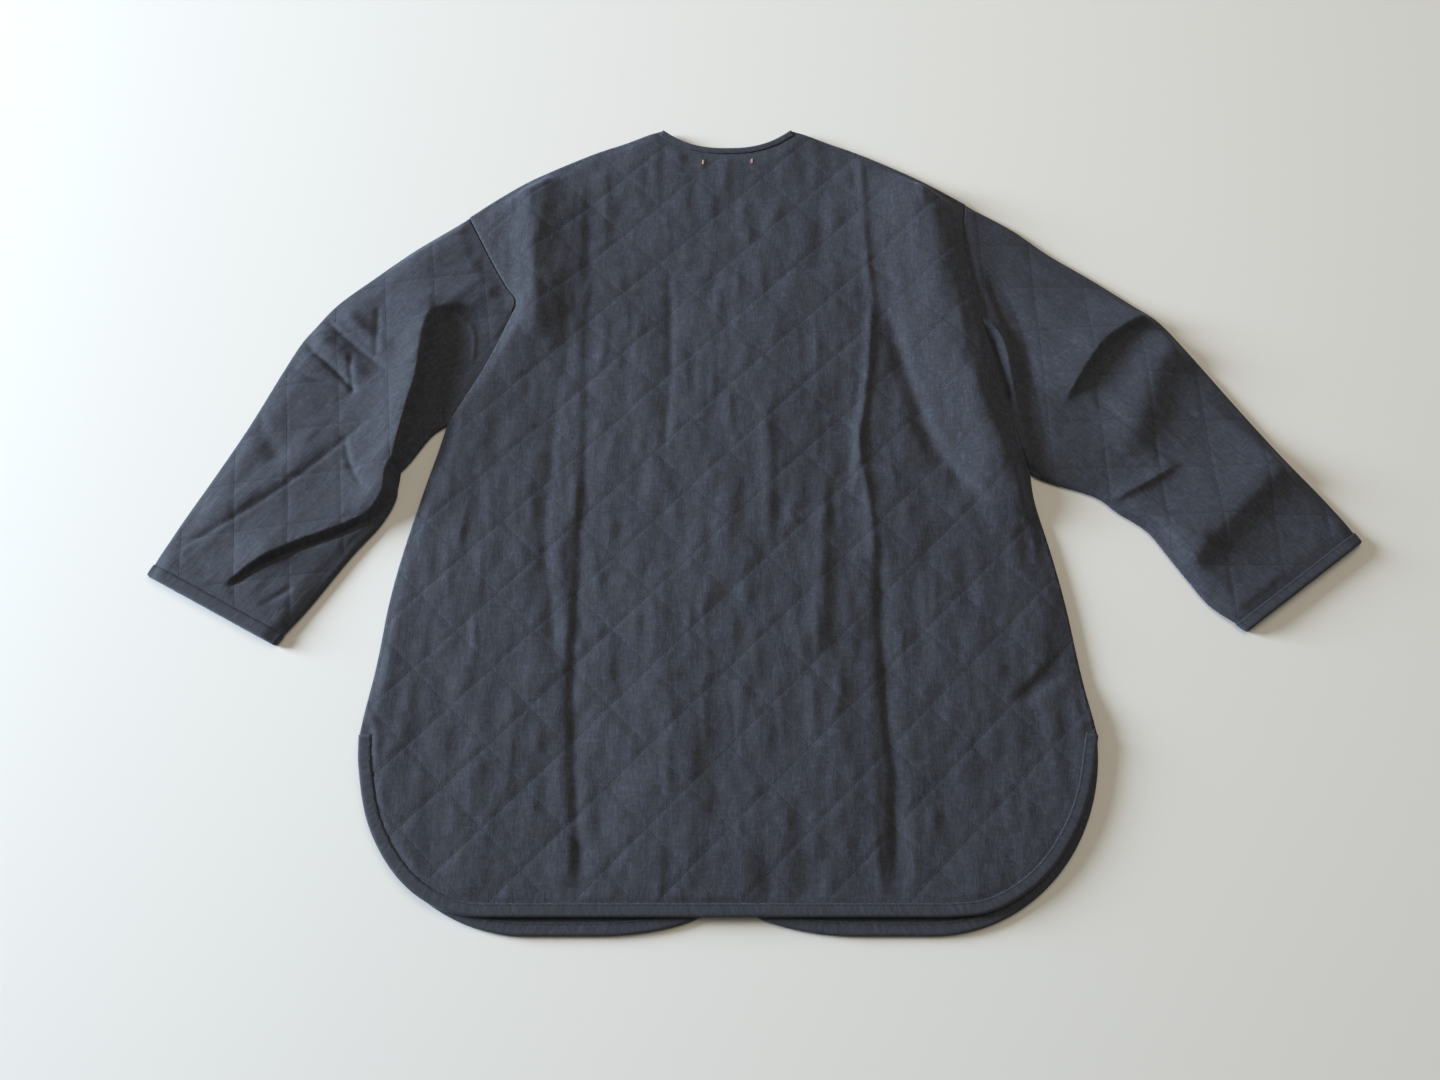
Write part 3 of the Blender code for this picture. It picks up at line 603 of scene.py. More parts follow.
def stitchRow(spots, directions, length, thread):
    # one slim four-sided stitch, copied along the spots; returns points and faces
    ring = np.array([(1, 0), (0, 1), (-1, 0), (0, -1)])
    shape = [(-0.5, 0, 0)] + [(s, *(0.5 * p)) for s in (-0.3, 0.3) for p in ring] + [(0.5, 0, 0)]
    shape = np.array(shape) * (length, thread, thread)
    turn = [(k, (k + 1) % 4) for k in range(4)]
    faces = [(0, 1 + n, 1 + k) for k, n in turn] + [(9, 5 + k, 5 + n) for k, n in turn]
    faces += [(1 + k, 1 + n, 5 + n) for k, n in turn] + [(1 + k, 5 + n, 5 + k) for k, n in turn]
    along = directions / np.linalg.norm(directions, axis=1, keepdims=True)
    across = np.cross((0, 0, 1), along)
    across /= np.linalg.norm(across, axis=1, keepdims=True)
    up = np.cross(along, across)
    axes = np.stack([along, across, up], axis=1)
    points = spots[:, None] + np.einsum("pk,nkd->npd", shape * mm, axes)
    every = (np.arange(len(spots)) * len(shape))[:, None, None] + np.array(faces)
    return points.reshape(-1, 3), every.reshape(-1, 3)


def onSurface(tree, flat, down=True):
    # the cloth's surface over or under flat places, with those that miss it left out
    start, way = (1.0, -1.0) if down else (-1.0, 1.0)
    hits, kept = [], []
    for k, (x, y) in enumerate(flat * mm + cutOrigin):
        spot = tree.ray_cast(Vector((x, y, start)), Vector((0, 0, way)))[0]
        if spot is not None:
            hits.append(spot[:])
            kept.append(k)
    return np.array(hits).reshape(-1, 3), np.array(kept, int)


def quiltLines(center, angle, outline, allowed, pitch):
    # stitch places along the quilting lines, with each line's direction
    reach = np.ptp(outline, axis=0).max() * 1.6
    steps = np.arange(-reach, reach, pitch)
    count = int(reach / quilting["diamond"]) + 2
    places, ways = [], []
    for sign in (1, -1):
        way = np.array([1, -sign]) / math.sqrt(2)
        for k in range(-count, count + 1):
            local = np.array([k * quilting["diamond"], 0]) + steps[:, None] * way
            spots = turned(local, (0, 0), -angle) + center
            places.append(spots)
            ways.append(np.tile(turned(way[None], (0, 0), -angle), (len(spots), 1)))
    places, ways = np.vstack(places), np.vstack(ways)
    good = insideOf(places, outline)
    good[good] = allowed(places[good])
    return places[good], ways[good]


def sewQuilting(name, panel, center, angle, outline, allowed, sides, pitch):
    tree = treeOf(panel)
    places, ways = quiltLines(center, angle, outline, allowed, pitch)
    rows = []
    for down in sides:
        spots, kept = onSurface(tree, places, down)
        ahead, more = onSurface(tree, places + ways * quilting["ahead"], down)
        _, one, two = np.intersect1d(kept, more, return_indices=True)
        spots, ahead = spots[one], ahead[two]
        way = ahead - spots
        spots = spots + (0, 0, (quilting["lift"] if down else -quilting["lift"]) * mm)
        spots[:, 2] = np.maximum(spots[:, 2], (quilting["thread"] / 2 + quilting["lift"]) * mm)
        rows.append(stitchRow(spots, way, quilting["stitch"], quilting["thread"]))
    points = np.vstack([row[0] for row in rows])
    firsts = np.cumsum([0] + [len(row[0]) for row in rows[:-1]])
    faces = np.vstack([row[1] + first for row, first in zip(rows, firsts)])
    stitches = meshPiece(name, points, faces)
    return finishPiece(stitches, navyThread, "quilted_cotton")


def sewnInside(settings, bound, seams):
    # where the quilting is sewn, clear of bindings and seams
    def allowed(points):
        clear = distanceTo(points, *bound) > settings["clearOfTape"]
        return clear & (distanceTo(points, *seams) > settings["clearOfSeam"])

    return allowed


# outlines of the cut
def bothSides(key):
    return [smoothLine(cut[key + "Right"]), mirrored(smoothLine(cut[key + "Left"]), -1)]


def backEdges():
    x = np.linspace(-cut["neckHalf"], cut["neckHalf"], 61)
    rise = cut["neckDrop"] * np.abs(x / cut["neckHalf"]) ** cut["neckPower"]
    neck = np.stack([x, cut["backLength"] + rise], axis=1)
    hemRight, hemLeft = bothSides("hem")
    flat = evenly(np.array([hemRight[-1], hemLeft[-1]]))
    return {
        "neck": evenly(neck),
        "hem": joinedPath(hemRight, flat, hemLeft[::-1]),
        "shoulders": bothSides("shoulder"), "armholes": bothSides("armhole"), "sides": bothSides("side"),
    }


def frontBoundEdge():
    hem = roundCorner((cut["ventHalf"] - cut["frontHemRound"], cut["ventHeight"]),
                      (cut["frontHemRound"], cut["ventHeight"] + cut["frontDrop"]), 0, -90)
    width, height = cut["frontCorner"]
    corner = roundCorner((cut["frontEdge"] + width, height - cut["frontDrop"]), (width, height), -90, -180)
    neckTop = cut["backLength"] + cut["neckDrop"]
    neckRadii = (cut["neckHalf"] - cut["frontEdge"], cut["frontNeckDrop"])
    neck = roundCorner((cut["frontEdge"], neckTop), neckRadii, -88, 0, 1.0)
    neck = neck[neck[:, 1] < neckTop - cut["frontTapeStop"]]
    neck = evenly(np.vstack([[(cut["frontEdge"], neckTop - cut["frontNeckDrop"])], neck]))
    level = evenly(np.array([hem[-1], corner[0]]))
    return joinedPath(hem, level, corner, evenly(np.array([corner[-1], neck[0]])), neck)


edges = backEdges()
neckEdge, hemEdge = edges["neck"], edges["hem"]
seamKeys = ("shoulders", "armholes", "sides")
rightSeams, leftSeams = ([edges[key][k] for key in seamKeys] for k in (0, 1))

# back panel, with the bindings' sizes, because its edges make room for them
bindingSet = {
    "width": 11.0, "neckWidth": 7.0, "ringStep": 3.2, "stitchIn": 1.7, "sewn": 0.78, "crown": 0.08,
    "ripple": 0.16, "ripplePitch": 7.0, "stitch": 2.1, "stitchPitch": 2.9, "thread": 0.36,
    "stitchLift": 0.1, "turnIn": 4.0,
}
armRidge = (13.5, 34, 46, 1.8, (196, 880), (214, 790), (226, 720), (232, 662), (238, 631), (246, 588),
            (257, 516), (270, 462), (290, 395), (302, 345))
shoulderRidge = (12.0, 31, 27, 1.4, (-250, 900), (-228, 800), (-217, 757), (-211, 694), (-205, 630),
                 (-203, 575))
backSet = {
    "divisions": 28, "keep": 0.66, "seamRoll": 0.2, "clearOfTape": 12.0, "clearOfSeam": 2.5, "seed": 11,
    "loftReach": 45, "foldReach": 16, "hemReach": 50, "neckReach": 40, "padReach": 10, "lowest": -1.6,
    "calm": 0.85, "calmWidth": 230,
    "folds": (  # height, left width, right width, crest, line
        armRidge,
        (1.8, 3.5, 6, 1.8, (151, 870), (152, 800), (153, 729), (154, 640)),
        (3.4, 3.5, 5, 1.7, (157, 660), (155, 627), (148, 554), (139, 495), (133, 440)),
        (3.0, 3.5, 6, 1.7, (133, 510), (136, 460), (140, 427), (145, 383), (148, 320)),
        (-3.0, 9, 3.5, 1.7, (146, 400), (148, 330), (148, 278), (149, 218), (150, 169), (153, 131),
         (151, 76), (149, -90)),
        (-1.6, 14, 5, 1.8, (-158, 860), (-153, 703), (-150, 602), (-148, 480)),
        (-2.6, 10, 4, 1.6, (-149, 560), (-147, 460), (-149, 385), (-150, 300), (-150, 198), (-142, 90),
         (-126, -110)),
        (-1.7, 6, 8, 1.8, (-178, 540), (-182, 430), (-183, 359), (-164, 220)),
        shoulderRidge,
        (4.2, 34, 9, 1.8, (-206, 672), (-213, 630), (-231, 590), (-253, 546), (-274, 510), (-294, 464),
         (-306, 410), (-318, 350)),
        (5.0, 12, 26, 1.7, (250, 580), (266, 510), (281, 462), (296, 412), (306, 370)),
        (-5.5, 8, 14, 1.8, (160, 660), (181, 584), (196, 524), (212, 472), (242, 423), (270, 386)),
        (-3.2, 3.5, 4, 1.8, (150, 424), (235, 401), (322, 376)),
        (-4.0, 5, 9, 1.8, (274, 196), (314, 230), (346, 258), (366, 274)),
        (4.0, 16, 9, 1.8, (-330, 380), (-337, 300), (-337, 220), (-331, 150), (-312, 70)),
        (2.4, 7, 10, 2, (92, 420), (94, 330), (90, 240)),
        (2.0, 6, 8, 2, (40, 520), (44, 440), (38, 350)),
        (-1.6, 4, 6, 2, (-62, 700), (-60, 560), (-66, 430)),
        (5.5, 170, 150, 2, (20, 700), (22, 400), (20, -100)),
    ),
}
backOutline = joinedPath(neckEdge, *rightSeams, hemEdge, *(path[::-1] for path in leftSeams[::-1]))[:-1]


def backUnder(points):
    seam = distanceTo(points, *edges["shoulders"], *edges["sides"])
    toHem, toNeck = distanceTo(points, hemEdge), distanceTo(points, neckEdge)
    bound = np.minimum(toHem, toNeck)
    height = cut["backSeam"] + (cut["backLoft"] - cut["backSeam"]) * ease(seam, backSet["loftReach"])
    free = ease(np.minimum(bound - cut["tapeFlat"] + 3, seam - 1), backSet["foldReach"])
    height = np.maximum(height + free * foldHeights(points, backSet["folds"]), cut["backSeam"])
    height += (1 - ease(toHem - cut["tapeFlat"], backSet["hemReach"])) * (cut["backHem"] - height)
    atNeck = 1 - ease(toNeck - cut["tapeFlat"], backSet["neckReach"])
    return height + atNeck * (cut["neckLoft"] - height)


def backOver(points, under):
    seam = distanceTo(points, *rightSeams, *leftSeams)
    bound = distanceTo(points, hemEdge, neckEdge)
    local = points - quilting["origin"]
    free = ease(np.minimum(bound - cut["tapeFlat"] + 4, seam - 1), backSet["padReach"])
    middle = np.exp(-((local[:, 0] / backSet["calmWidth"]) ** 4))  # puckers are strongest here
    calm = backSet["calm"] + (1 - backSet["calm"]) * middle
    raised = np.maximum(padding(local) + calm * puckers(local, backSet["seed"]), backSet["lowest"])
    rolled = backSet["seamRoll"] * (1 - ease(seam, 3.0)) * ease(bound - cut["tapeFlat"], 9)
    return under + cut["cloth"] + free * raised + besideTape(bound, tapeWidth(points)) - rolled


def tapeWidth(points):
    return np.where(points[:, 1] > 600, bindingSet["neckWidth"], bindingSet["width"])


def besideTape(bound, width):
    # the wadding swells again just inside a binding
    return quilting["shoulder"] * ease(bound - width - 0.5, 3.0)


seamEnds = [path[-1] for pair in zip(rightSeams, leftSeams) for path in pair]
corners = [neckEdge[0], neckEdge[-1]] + seamEnds
backGrid, flat = panelGrid("backPanel", backOutline, backSet["divisions"], corners)
underHeights = backUnder(flat)
backPanel = clothWall(backGrid, flat, backOver(flat, underHeights), underHeights, "under", backSet["keep"])
finishPiece(backPanel, quiltedCotton, "quilted_cotton", "back_panel")
backSewn = sewnInside(backSet, [hemEdge, neckEdge], rightSeams + leftSeams)
backStitches = sewQuilting("backQuiltStitches", backPanel, quiltOrigin, 0.0, backOutline, backSewn, (True,),
                           quilting["stitchPitch"])
print("back panel made:", len(backPanel.data.polygons), "triangles")

# fronts, lying face down on the floor
frontSet = {
    "divisions": 16, "keep": 0.7, "floorGroove": 1.0, "grooveWidth": 5.0, "liftReach": 25,
    "clearOfTape": 14.0, "clearOfSeam": 4.0,
}
fronts = {}


def frontUnder(bound):
    # height of a front's underside, raised for the binding along its bound edge
    reach = frontSet["liftReach"]
    return lambda points: frontLift * (1 - ease(distanceTo(points, bound) - cut["tapeFlat"], reach))


for side, hand in hands:
    tag = hand.title()
    bound = frontBoundEdge()
    neckPoint = np.array([(cut["neckHalf"], cut["backLength"] + cut["neckDrop"])])
    seams = [smoothLine(cut[key + tag]) for key in ("shoulder", "armhole", "side")]
    around = joinedPath(bound, np.vstack([bound[-1:], neckPoint]), *seams)[:-1]
    outline, bound = mirrored(around, side), mirrored(bound, side)
    seams = [mirrored(path, side) for path in seams]
    frontGrid, flat = panelGrid("front" + tag, outline, frontSet["divisions"], [path[-1] for path in seams])
    toBound = distanceTo(flat, bound)
    lift = frontUnder(bound)(flat)
    local = flat - quilting["origin"]
    loose = ease(np.minimum(toBound - cut["tapeFlat"], distanceTo(flat, *seams) - 2), 9)
    groove = frontSet["floorGroove"] * loose * np.exp(-((seamGap(local) / frontSet["grooveWidth"]) ** 2))
    front = clothWall(frontGrid, flat, lift + cut["cloth"], lift + groove, "over", frontSet["keep"])
    finishPiece(front, quiltedCotton, "quilted_cotton", "front_" + hand)
    stitches = sewQuilting("front" + tag + "QuiltStitches", front, quiltOrigin, 0.0, outline,
                           sewnInside(frontSet, [bound], seams), (False,), quilting["hiddenPitch"])
    fronts[hand] = {"piece": front, "stitches": stitches, "outline": outline, "bound": bound}
print("fronts made")

# sleeves, tubes pressed flat
sleeveSet = {
    "along": 241, "around": 133, "edgeRound": 4.0, "wall": 2.9, "seed": {"right": 23, "left": 37},
    "puckered": 0.58, "seamDrop": 0.3, "seamRise": 1.4, "levelSeam": {"right": False, "left": True},
    "edgeRise": 16.0, "steeper": {"right": 0.0, "left": 7.0}, "cuffTaper": 16.0, "cuffTip": 0.12,
    "cuffReach": 28, "armReach": 30, "loftReach": 26, "armLoftReach": 12, "steepFrom": 370, "steepOver": 60,
    "levelFrom": 622, "levelOver": 26, "levelReach": 22, "dropReach": 6, "riseReach": 16, "padReach": 10,
    "lowest": -0.8, "edgeShares": (0, 0.0025, 0.006, 0.012), "innerRound": 1.5, "grooveWidth": 4.0,
    "clearOfTape": 13.0, "clearOfSeam": 4.0,
    "foldsRight": (  # height, left width, right width, crest, line
        armRidge,
        (10.5, 5, 38, 1.5, (500, 655), (471, 630), (430, 610), (396, 583), (362, 534), (347, 512)),
        (8.0, 22, 26, 2, (500, 620), (478, 590), (455, 560), (436, 520), (416, 480), (400, 450)),
        (9.5, 18, 45, 1.8, (620, 500), (589, 472), (567, 447), (511, 394), (455, 340), (420, 305)),
        (3.6, 12, 3.5, 1.6, (362, 394), (397, 410), (430, 427), (466, 450)),
        (4.2, 12, 3.5, 1.6, (398, 402), (422, 389), (448, 373), (486, 352)),
        (4.0, 4, 4, 1.8, (236, 624), (270, 614), (286, 604), (294, 584), (298, 552), (300, 506)),
        (-6.0, 4, 6, 1.8, (268, 612), (277, 596), (284, 572), (291, 536), (295, 505)),
        (-3.0, 9, 9, 2, (248, 770), (258, 710), (267, 652), (282, 600)),
        (-8.0, 13, 7, 2, (278, 690), (293, 645), (306, 602), (312, 554), (316, 507), (320, 461), (326, 425)),
        (-1.2, 5, 5, 2, (380, 531), (412, 491), (480, 436)),
        (2.0, 14, 10, 2, (330, 640), (372, 600), (400, 560)),
    ),
    "foldsLeft": (
        shoulderRidge,
        (7.5, 7, 32, 1.5, (-200, 622), (-229, 626), (-253, 630), (-277, 635), (-304, 632), (-319, 618),
         (-323, 592), (-326, 544), (-332, 510), (-338, 474), (-345, 425), (-352, 380)),
        (8.5, 8, 37, 1.4, (-318, 650), (-321, 600), (-325, 544), (-331, 515), (-338, 474), (-345, 420),
         (-352, 375)),
        (-4.5, 30, 22, 2, (-284, 650), (-277, 590), (-287, 530), (-306, 476)),
        (-4.5, 12, 12, 2, (-224, 640), (-237, 592), (-246, 566), (-258, 538), (-274, 511), (-292, 480)),
        (4.0, 66, 36, 2, (-356, 740), (-344, 705), (-332, 670), (-322, 620)),
        (2.4, 3.5, 4, 1.7, (-300, 622), (-284, 618), (-272, 602), (-270, 560)),
        (5.6, 3, 34, 1.5, (-322, 452), (-344, 410), (-359, 393), (-395, 375), (-438, 357), (-490, 322)),
        (3.0, 2.6, 24, 1.5, (-430, 361), (-452, 349), (-471, 337), (-500, 312), (-550, 258)),
        (-4.2, 4, 3.2, 2, (-330, 426), (-345, 402), (-362, 386), (-397, 368), (-440, 350), (-474, 330),
         (-520, 288)),
        (-1.6, 3, 5, 1.8, (-360, 510), (-437, 435), (-506, 382), (-575, 340)),
        (3.0, 18, 14, 2, (-420, 480), (-470, 425), (-540, 385)),
        (-3.8, 2.6, 3.4, 1.6, (-466, 602), (-420, 562), (-386, 526)),
        (-2.4, 2.6, 4, 1.7, (-470, 564), (-424, 543), (-390, 531)),
        (-2.4, 2.6, 2.6, 1.8, (-400, 580), (-398, 556), (-393, 524)),
        (-2.8, 2.6, 3.6, 1.7, (-442, 630), (-400, 589), (-352, 549)),
        (-1.8, 3, 4, 1.8, (-376, 640), (-374, 600), (-371, 566)),
        (4.0, 10, 9, 2, (-450, 610), (-412, 575), (-376, 543)),
        (3.2, 8, 8, 2, (-414, 632), (-386, 600), (-350, 575)),
        (-2.0, 4, 4, 1.8, (-398, 486), (-387, 447), (-368, 416)),
        (-1.6, 3, 4, 1.8, (-476, 272), (-452, 298), (-426, 318)),
        (-2.0, 9, 9, 2, (-505, 515), (-478, 478), (-455, 445)),
    ),
}


def filledGrid(under, top, arm, cuff):
    # a grid of places filling four edge lines
    u = np.linspace(0, 1, len(under))[:, None, None]
    v = np.linspace(0, 1, len(arm))[None, :, None]
    ruled = (1 - v) * under[:, None] + v * top[:, None] + (1 - u) * arm[None] + u * cuff[None]
    return ruled - ((1 - u) * ((1 - v) * under[0] + v * top[0]) + u * ((1 - v) * under[-1] + v * top[-1]))


def tubeGrid(top, under, arm, along, shares):
    lengths = np.linspace(0, 1, along)
    line = resampled(np.array([under[-1], top[-1]]), shares)
    return filledGrid(resampled(under, lengths), resampled(top, lengths), resampled(arm, shares), line)


def mouthAt(fromEnd):
    # height of the opening inside the cuff, low at its two corners
    return cut["mouth"] * np.maximum(sleeveSet["cuffTip"], ease(fromEnd, sleeveSet["cuffTaper"]))


def makeSleeve(hand, side, armhole):
    tag = hand.title()
    armEnd = (armhole + intoCloth(armhole, -side) * cut["seamGap"])[::-1]
    top = mirrored(smoothLine(cut["sleeveTop" + tag]), side)
    under = mirrored(smoothLine(cut["sleeveUnder" + tag]), side)
    top[0], under[0] = armEnd[-1], armEnd[0]
    cuff = evenly(np.array([under[-1], top[-1]]))
    center = armEnd.mean(0)
    axis = cuff.mean(0) - center
    angle = math.atan2(axis[1], axis[0])
    folds = sleeveSet["folds" + tag]
    edgeRound, wall = sleeveSet["edgeRound"], sleeveSet["wall"]
    middle = np.linspace(0.02, 0.98, sleeveSet["around"] - 8)
    first = np.array(sleeveSet["edgeShares"])
    shares = np.concatenate([first, middle, 1 - first[::-1]])

    def atCuff(points):
        return 1 - ease(distanceTo(points, cuff) - cut["cuffFlat"], sleeveSet["cuffReach"])

    def underOut(points):
        return frontLift * atCuff(points)

    def topIn(points):
        edge = distanceTo(points, top, under)
        toArm = distanceTo(points, armEnd)
        nearArm = 1 - ease(toArm, sleeveSet["armReach"])
        steeper = ease(points[:, 1] - sleeveSet["steepFrom"], sleeveSet["steepOver"])
        rise = sleeveSet["edgeRise"] - sleeveSet["steeper"][hand] * steeper
        free = ease(np.minimum(edge - 1, distanceTo(points, cuff) - cut["cuffFlat"]), rise)
        loft = cut["sleeveLoft"] * ease(edge, sleeveSet["loftReach"])
        atArm = nearArm * ease(edge, sleeveSet["armLoftReach"])
        loft = loft + atArm * (cut["backLoft"] - cut["cloth"] - loft)
        height = np.maximum(loft + free * foldHeights(points, folds), 0)
        if sleeveSet["levelSeam"][hand]:  # lies level with the back along the upper seam
            upper = ease(points[:, 1] - sleeveSet["levelFrom"], sleeveSet["levelOver"])
            atSeam = (1 - ease(toArm, sleeveSet["levelReach"])) * upper
            height = height + atSeam * (backUnder(points) - cut["cloth"] - cut["seamGap"] - height)
        mouth = mouthAt(edge) * ease(edge, edgeRound)
        gap = cut["seamGap"]
        pressed = height + atCuff(points) * (mouth - gap * ease(edge, 3) - height)
        return underOut(points) + cut["cloth"] + gap + pressed

    def topOut(points):
        edge = distanceTo(points, top, under)
        near = np.minimum(edge - 2, distanceTo(points, cuff) - cut["cuffFlat"] + 3)
        toArm = distanceTo(points, armEnd)
        near = np.minimum(near, toArm - 2)
        local = turned(points, center, angle)
        raised = padding(local) + sleeveSet["puckered"] * puckers(local[:, ::-1], sleeveSet["seed"][hand])
        raised = ease(near, sleeveSet["padReach"]) * np.maximum(raised, sleeveSet["lowest"])
        drop = sleeveSet["seamDrop"] * (1 - ease(toArm, sleeveSet["dropReach"]))
        swell = besideTape(distanceTo(points, cuff), bindingSet["width"]) * ease(edge, 6)
        return topIn(points) + cut["cloth"] + raised + swell - drop

    def edgeHeight(points):
        low = cut["cloth"] + cut["seamGap"] / 2
        atArm = 1 - ease(distanceTo(points, armEnd), sleeveSet["riseReach"])
        low = low + sleeveSet["seamRise"] * atArm
        return low + atCuff(points) * (frontLift + cut["cloth"] + mouthAt(np.zeros(1)) / 2 - low)

    def rounded(points, target, edge, radius):
        t = np.clip(edge / radius, 0, 1)
        level = edgeHeight(points)
        return level + (target - level) * np.sqrt(1 - (1 - t) ** 2)

    outer = tubeGrid(top, under, armEnd, sleeveSet["along"], shares)
    innerTop = top + intoCloth(top, side) * wall
    innerUnder = under + intoCloth(under, -side) * wall
    armLength = lengthOf(armEnd)
    innerArm = resampled(armEnd, np.linspace(wall / armLength, 1 - wall / armLength, 80))
    innerTop[0], innerUnder[0] = innerArm[-1], innerArm[0]
    innerTop[-1] = cuff[-1] + (cuff[0] - cuff[-1]) * wall / lengthOf(cuff)
    innerUnder[-1] = cuff[0] + (cuff[-1] - cuff[0]) * wall / lengthOf(cuff)
    inner = tubeGrid(innerTop, innerUnder, innerArm, (sleeveSet["along"] + 1) // 2, shares[::2])

    def ringOf(grid, over, lower, radius, edgeTop, edgeUnder):
        flatGrid = grid.reshape(-1, 2)
        edge = distanceTo(flatGrid, edgeTop, edgeUnder)
        shape = grid.shape[:2]
        high = rounded(flatGrid, over(flatGrid), edge, radius).reshape(shape)
        low = rounded(flatGrid, lower(flatGrid), edge, radius).reshape(shape)
        plan = np.concatenate([grid, grid[:, -2:0:-1]], axis=1)
        heights = np.concatenate([high, low[:, -2:0:-1]], axis=1)
        return plan, heights

    def floorFace(points):
        local = turned(points, center, angle)
        near = np.minimum(distanceTo(points, top, under) - 3, distanceTo(points, cuff) - cut["cuffFlat"])
        line = np.exp(-((seamGap(local) / sleeveSet["grooveWidth"]) ** 2))
        return underOut(points) + frontSet["floorGroove"] * ease(near, 9) * line

    def underIn(points):
        return underOut(points) + cut["cloth"]

    outPlan, outHeights = ringOf(outer, topOut, floorFace, edgeRound, top, under)
    inPlan, inHeights = ringOf(inner, topIn, underIn, sleeveSet["innerRound"], innerTop, innerUnder)
    faces, rings = [], []
    shift = 0
    for heights in (outHeights, inHeights):
        index = np.arange(heights.size).reshape(heights.shape) + shift
        after = np.roll(index, -1, axis=1)
        faces.append(np.stack([index[:-1], after[:-1], after[1:]], axis=-1).reshape(-1, 3))
        faces.append(np.stack([index[:-1], after[1:], index[1:]], axis=-1).reshape(-1, 3))
        rings.append(index)
        shift += heights.size
    for row in (0, -1):  # the two open ends of the wall, two outer points to each inner one
        out, ins = rings[0][row], rings[1][row]
        a, b, c, d, e = out[::2], out[1::2], np.roll(out[::2], -1), ins, np.roll(ins, -1)
        faces += [np.column_stack([a, b, d]), np.column_stack([b, e, d]), np.column_stack([b, c, e])]
    places = np.vstack([outPlan.reshape(-1, 2), inPlan.reshape(-1, 2)])
    levels = np.concatenate([outHeights.ravel(), inHeights.ravel()])
    sleeve = meshPiece("sleeve" + tag, toWorld(places, levels), np.vstack(faces))
    local = turned(places, center, angle)
    setGrain(sleeve, local[:, 1], local[:, 0])
    faceOutwards(sleeve)
    finishPiece(sleeve, quiltedCotton, "quilted_cotton", "sleeve_" + hand)
    outline = joinedPath(armEnd[::-1], under, cuff, top[::-1])[:-1]
    sewn = sewnInside(sleeveSet, [cuff], [top, under, armEnd])
    stitches = sewQuilting("sleeve" + tag + "Stitches", sleeve, center, angle, outline, sewn, (True, False),
                           quilting["stitchPitch"])
    return {"piece": sleeve, "stitches": stitches, "top": top, "under": under,
            "cut": turned(outline, center, angle)}


sleeves = {hand: makeSleeve(hand, side, path) for (side, hand), path in zip(hands, edges["armholes"])}
print("sleeves made:", len(sleeves["right"]["piece"].data.polygons), "faces each")


# bindings: a strip folded round each raw edge, sewn down near its inner edge
def bothFaces(half):
    half = np.array(half)
    return np.vstack([half, half[-2::-1] * (1, -1)])


def tapeProfile(width):
    # outer and inner points of the folded strip: depth into the cloth, height from the cloth's middle
    inner = cut["cloth"] / 2 + cut["seamGap"]
    outer = inner + cut["tape"]
    stitch = width - bindingSet["stitchIn"]
    sewn = inner + bindingSet["sewn"]
    top = [(width, sewn - 0.2), (width - 0.5, sewn + 0.05), (stitch, sewn), (stitch - 1.6, outer - 0.02),
           (width * 0.36, outer + bindingSet["crown"]), (width * 0.16, outer + 0.1)]
    fold = [(-outer * 0.5 * math.sin(a) + 0.2, outer * math.cos(a)) for a in np.radians((25, 50, 75))]
    outside = top + fold + [(-cut["seamGap"] - cut["tape"], 0.0)]
    flatRun = (width, width - 0.6, stitch, stitch - 1.6, width * 0.36, width * 0.16, 0.9)
    inside = [(x, inner) for x in flatRun]
    inside += [(0.3, inner * 0.9), (-0.1, inner * 0.6), (-cut["seamGap"], 0.0)]
    return bothFaces(outside), bothFaces(inside)


def sweptTape(name, rings, closed, node):
    # rings: ring, outer then inner points, xyz in mm
    rings = np.asarray(rings)
    count, size = rings.shape[:2]
    half = size // 2
    index = np.arange(count * size).reshape(count, size)
    loop = np.concatenate([np.arange(half), np.arange(size - 1, half - 1, -1)])
    first = index if closed else index[:-1]
    second = np.roll(index, -1, axis=0) if closed else index[1:]
    following = np.roll(loop, -1)
    quads = [first[:, loop], first[:, following], second[:, following], second[:, loop]]
    faces = [np.stack(quads, axis=-1).reshape(-1, 4)]
    if not closed:
        k = np.arange(half - 1)
        for row in (index[0], index[-1]):
            faces.append(np.stack([row[k], row[k + 1], row[half + k + 1], row[half + k]], axis=-1))
    points = rings.reshape(-1, 3)
    tape = meshPiece(name, toWorld(points[:, :2], points[:, 2]), np.vstack(faces))
    faceOutwards(tape)
    return finishPiece(tape, bindingCotton, "binding_cotton", node)


def sewTape(name, spots, ways):
    row = stitchRow(spots, ways, bindingSet["stitch"], bindingSet["thread"])
    stitches = meshPiece(name + "Stitches", *row)
    return finishPiece(stitches, navyThread, "binding_cotton")


def tapeGrain(tape, count, size, step):
    # the strip is cut on the bias, so its threads run slantwise
    along = np.repeat(np.arange(count) * step, size)
    across = np.tile(np.arange(size) * 1.3, count)
    setGrain(tape, (along + across) / math.sqrt(2), (along - across) / math.sqrt(2))


def wobble(count, step, seed):
    draw = np.random.default_rng(seed)
    s = np.arange(count) * step
    total = np.zeros(count)
    for pitch in (1.0, 1.37, 2.3, 0.81):
        total += np.sin(2 * math.pi * s / (bindingSet["ripplePitch"] * pitch) + draw.uniform(0, 6.28))
    return total / 2


